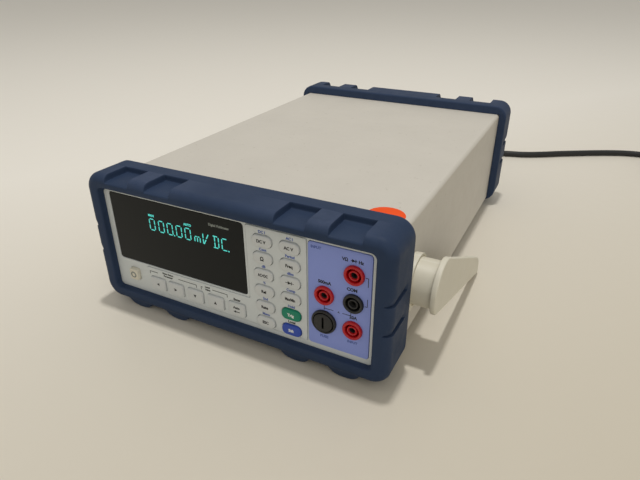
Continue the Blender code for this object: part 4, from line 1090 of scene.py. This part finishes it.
def cut(made, tool_mesh):
    """Cuts a bmesh out of a piece, and applies the cut."""
    bmesh.ops.recalc_face_normals(tool_mesh, faces=tool_mesh.faces)
    data = bpy.data.meshes.new("tool")
    tool_mesh.to_mesh(data)
    tool_mesh.free()
    tool = add_object("tool", data)
    step = made.modifiers.new("cut", "BOOLEAN")
    step.object = tool
    result = bpy.data.meshes.new_from_object(made.evaluated_get(bpy.context.evaluated_depsgraph_get()))
    made.modifiers.clear()
    made.data = result
    bpy.data.objects.remove(tool)
    result.shade_smooth()
    result.set_sharp_from_angle(angle=math.radians(38.0))


# ---------------------------------------------------------------- handle

HUB_Y, HUB_Z = middle("handle_hub_right")[1], middle("handle_hub_right")[2]
ARM_INNER, ARM_OUTER = 0.1248, 0.1287
ARM_SPLAY = 0.0145
DISC_R = 0.0187
FLANGE_R, FLANGE_END = 0.0178, 0.1120
DRUM_R, DRUM_END, BORE_R = 0.0155, 0.1243, 0.0040


def arm_outline():
    """The arm from the side, as (y, z) about the hub: a disc, two straight edges and a beaked tip."""
    corner, shoulder = (-0.0136, -0.0128), (0.0113, 0.0149)
    start = math.atan2(corner[1], corner[0]) + 2 * math.pi
    end = math.atan2(shoulder[1], shoulder[0])
    steps, rounding = 40, 4
    outline = []
    for step in range(steps + 1):
        angle = start + (end - start) * step / steps
        outline.append((DISC_R * math.cos(angle), DISC_R * math.sin(angle)))
    beak = [(0.0967, -0.0278), (0.1067, -0.0330), (0.1132, -0.0378), (0.1162, -0.0430)]
    beak += [(0.1170, -0.0480), (0.1166, -0.0518), (0.1148, -0.0527)]
    bent = softened([shoulder, *beak, corner], 0.0010, rounding)
    return outline + bent[rounding + 1:-rounding - 1]


def handle():
    """The hubs on the case, and the arms and the strap between their tips."""
    for side, end in (("left", -1), ("right", 1)):
        def to_side(u, v, w, end=end):
            return (end * (w + ARM_SPLAY * max(0.0, u)), HUB_Y + u, HUB_Z + v)

        mesh = bmesh.new()
        add_plate(mesh, [arm_outline()], ARM_INNER, ARM_OUTER, 0.0009, to_side)
        piece(f"arm_{side}", mesh, ["handle_cream"], "handle", [f"handle_arm_{side}"])

        start = CASE_HALF_W + SNUG
        step = 0.0007  # the flange's raised rim, and the fine groove between it and the drum
        rim, groove = FLANGE_R - 2 * step, FLANGE_END - step
        corners = [(BORE_R, start), (FLANGE_R, start), (FLANGE_R, FLANGE_END), (rim, FLANGE_END)]
        corners += [(rim, groove), (DRUM_R, groove), (DRUM_R, DRUM_END), (BORE_R, DRUM_END)]
        profile = rounded_profile(corners, 0.0003, 3)
        mesh = bmesh.new()
        add_turned(mesh, [(radius, end * along) for radius, along in profile], 72, "x", (0.0, HUB_Y, HUB_Z))
        angle = math.radians(236)
        out = Vector((0.0, math.cos(angle), math.sin(angle)))
        across = Vector((0.0, -out[2], out[1]))
        rings = []
        for half, proud in ((0.0022, -0.0012), (0.0022, 0.0016), (0.0017, 0.0022)):
            ring = []
            for u, v in rounded_rectangle(half, 0.0016, 0.0005, 4):
                spot = Vector((end * (FLANGE_END - 0.0018 + v), HUB_Y, HUB_Z)) + across * u
                spot += out * (FLANGE_R + proud)
                ring.append(tuple(spot))
            rings.append(ring)
        loft(mesh, rings)
        piece(f"hub_{side}", mesh, ["handle_cream"], "case", [f"handle_hub_{side}"])

    strap = [(0.1002, -0.0464), (0.1149, -0.0464), (0.1155, -0.0478), (0.1119, -0.0516), (0.1002, -0.0479)]
    strap = softened(strap, 0.0006)
    rings = []
    reach = ARM_INNER + ARM_SPLAY * 0.1050 + 0.0004
    for x in (-reach, reach):
        rings.append([(x, HUB_Y + y, HUB_Z + z) for y, z in strap])
    mesh = bmesh.new()
    loft(mesh, rings)
    piece("strap", mesh, ["handle_cream"], "handle", ["handle_bar"])


# ---------------------------------------------------------------- rear and carried-over parts


SCREW_XS, SCREW_ZS = (-0.0950, 0.0950), (0.0220, 0.0850)
KEPT_NODES = ("rear_panel", "power_inlet", "fuse_drawer", "voltage_selector", "data_port", "bottom_chassis")


def rear_details():
    """The screws of the rear panel, and the generic words beside its sockets."""
    mesh = bmesh.new()
    head = [(0.0, 0.0), (0.0030, 0.0), (0.0029, 0.0007), (0.0022, 0.0013), (0.0010, 0.0016), (0.0, 0.0016)]
    for x in SCREW_XS:
        for z in SCREW_ZS:
            add_turned(mesh, head, 32, "y", (x, REAR_Y, z))
            # the cross recesses are coloured near-black: painted shade in the recess
            for turn in (45, 135):
                angle = math.radians(turn)
                arm = Vector((math.cos(angle), math.sin(angle))) * 0.0016
                rings = []
                for y in (REAR_Y + 0.0010, REAR_Y + 0.00166):
                    side = Vector((-arm[1], arm[0])).normalized() * 0.0003
                    spots = (arm + side, -arm + side, -arm - side, arm - side)
                    rings.append([(x + spot[0], y, z + spot[1]) for spot in spots])
                loft(mesh, rings, look_number=1)
    piece("rear_screws", mesh, ["steel", "hole_dark"])

    mesh = bmesh.new()
    inlet, port, selector = middle("power_inlet"), middle("data_port"), middle("voltage_selector")
    # words on the rear panel are placed by their distance to the viewer's right, which is -X
    add_words(mesh, "FUSE", -inlet[0], 0.0160, 0.0018, REAR_Y, place=to_rear)
    add_words(mesh, "AC LINE", -inlet[0], 0.0640, 0.0020, REAR_Y, place=to_rear)
    add_words(mesh, "115 V   230 V", -selector[0], selector[2] + 0.0065, 0.0017, REAR_Y, place=to_rear)
    add_words(mesh, "DATA", -port[0], port[2] + 0.0105, 0.0018, REAR_Y, place=to_rear)
    piece("rear_print", mesh, ["black_ink"], slot="black_plastic")


def carried_over():
    """Gives every node that stays its finer material, and breaks its sharp edges."""
    for name, node in frame["nodes"].items():
        for slot in node.material_slots:
            slot.material = LOOKS[slot_of(name)]
    for name in KEPT_NODES:
        node = frame["nodes"][name]
        weld = node.modifiers.new("weld", "WELD")
        weld.merge_threshold = 0.00001
        edge = node.modifiers.new("edge", "BEVEL")
        edge.width = 0.0002
        edge.segments = 2
        edge.limit_method = "ANGLE"
        edge.angle_limit = math.radians(50)


def slot_of(name):
    """The record's material slot of a node."""
    for part in frame["record"]["subparts"]:
        if part["node"] == name:
            return part["material_slot"]
    return "black_plastic"


# ---------------------------------------------------------------- studio


TABLE_HALF, TABLE_Z = 4.0, -0.0002
ROOM_LIGHT = 0.55


def table_look():
    """A pale laminate with painted light: its colour is a little lighter towards the back left and darker
    towards the front right, standing in for uneven lamp light on the table.
    """
    made = look("table", srgb(222, 214, 201), 0.42, vary=0.015)
    tree = made.node_tree
    shader = tree.nodes["Principled BSDF"]
    plain = shader.inputs["Base Color"].links[0].from_socket
    # painted light: a colour gradient across the table in place of the lamp's uneven light
    place = add_node(tree, "ShaderNodeTexCoord")
    towards = add_node(tree, "ShaderNodeVectorMath", {1: (-0.80, 0.60, 0.0)}, operation="DOT_PRODUCT")
    tree.links.new(place.outputs["Object"], towards.inputs[0])
    share = spread(tree, towards.outputs["Value"], 0.0, 1.0, -0.30, 0.30)
    light = mixed(tree, share, srgb(204, 196, 178), srgb(246, 242, 233))
    laminate_with_painted_light = add_node(tree, "ShaderNodeMix", {"Factor": 0.85}, data_type="RGBA")
    tree.links.new(plain, laminate_with_painted_light.inputs[6])
    tree.links.new(light, laminate_with_painted_light.inputs[7])
    tree.links.new(laminate_with_painted_light.outputs[2], shader.inputs["Base Color"])
    return made


def studio():
    """A pale table in a pale room, with a lamp overhead and a little light from the front right."""
    mesh = bmesh.new()
    bmesh.ops.create_grid(mesh, x_segments=1, y_segments=1, size=TABLE_HALF)
    data = bpy.data.meshes.new("table")
    mesh.to_mesh(data)
    mesh.free()
    table = add_object("table", data)
    table.location = (0.0, 0.0, TABLE_Z)
    data.materials.append(table_look())
    world = bpy.data.worlds.new("room")
    world.use_nodes = True
    shade = world.node_tree.nodes["Background"]
    shade.inputs["Color"].default_value = srgb(236, 233, 226)
    shade.inputs["Strength"].default_value = ROOM_LIGHT
    bpy.context.scene.world = world
    for name, place, size, power_watts, tint in (
        ("ceiling_light", (0.02, 0.0, 2.2), 0.10, 19.0, (1.0, 0.985, 0.96)),
        ("front_fill", (1.2, -1.5, 1.3), 1.6, 5.0, (1.0, 0.98, 0.95)),
    ):
        light = bpy.data.lights.new(name, "AREA")
        light.size = size
        light.energy = power_watts
        light.color = tint
        lamp = add_object(name, light)
        lamp.location = place
        lamp.rotation_euler = (-Vector(place)).to_track_quat("-Z", "Y").to_euler()
    bpy.context.scene.view_settings.view_transform = "Standard"


carried_over()
bumper(-1)
bumper(1)
cover()
sticker()
front()
keys()
power()
panel_print()
display()
terminals()
jacks()
current_fuse()
handle()
rear_details()
studio()
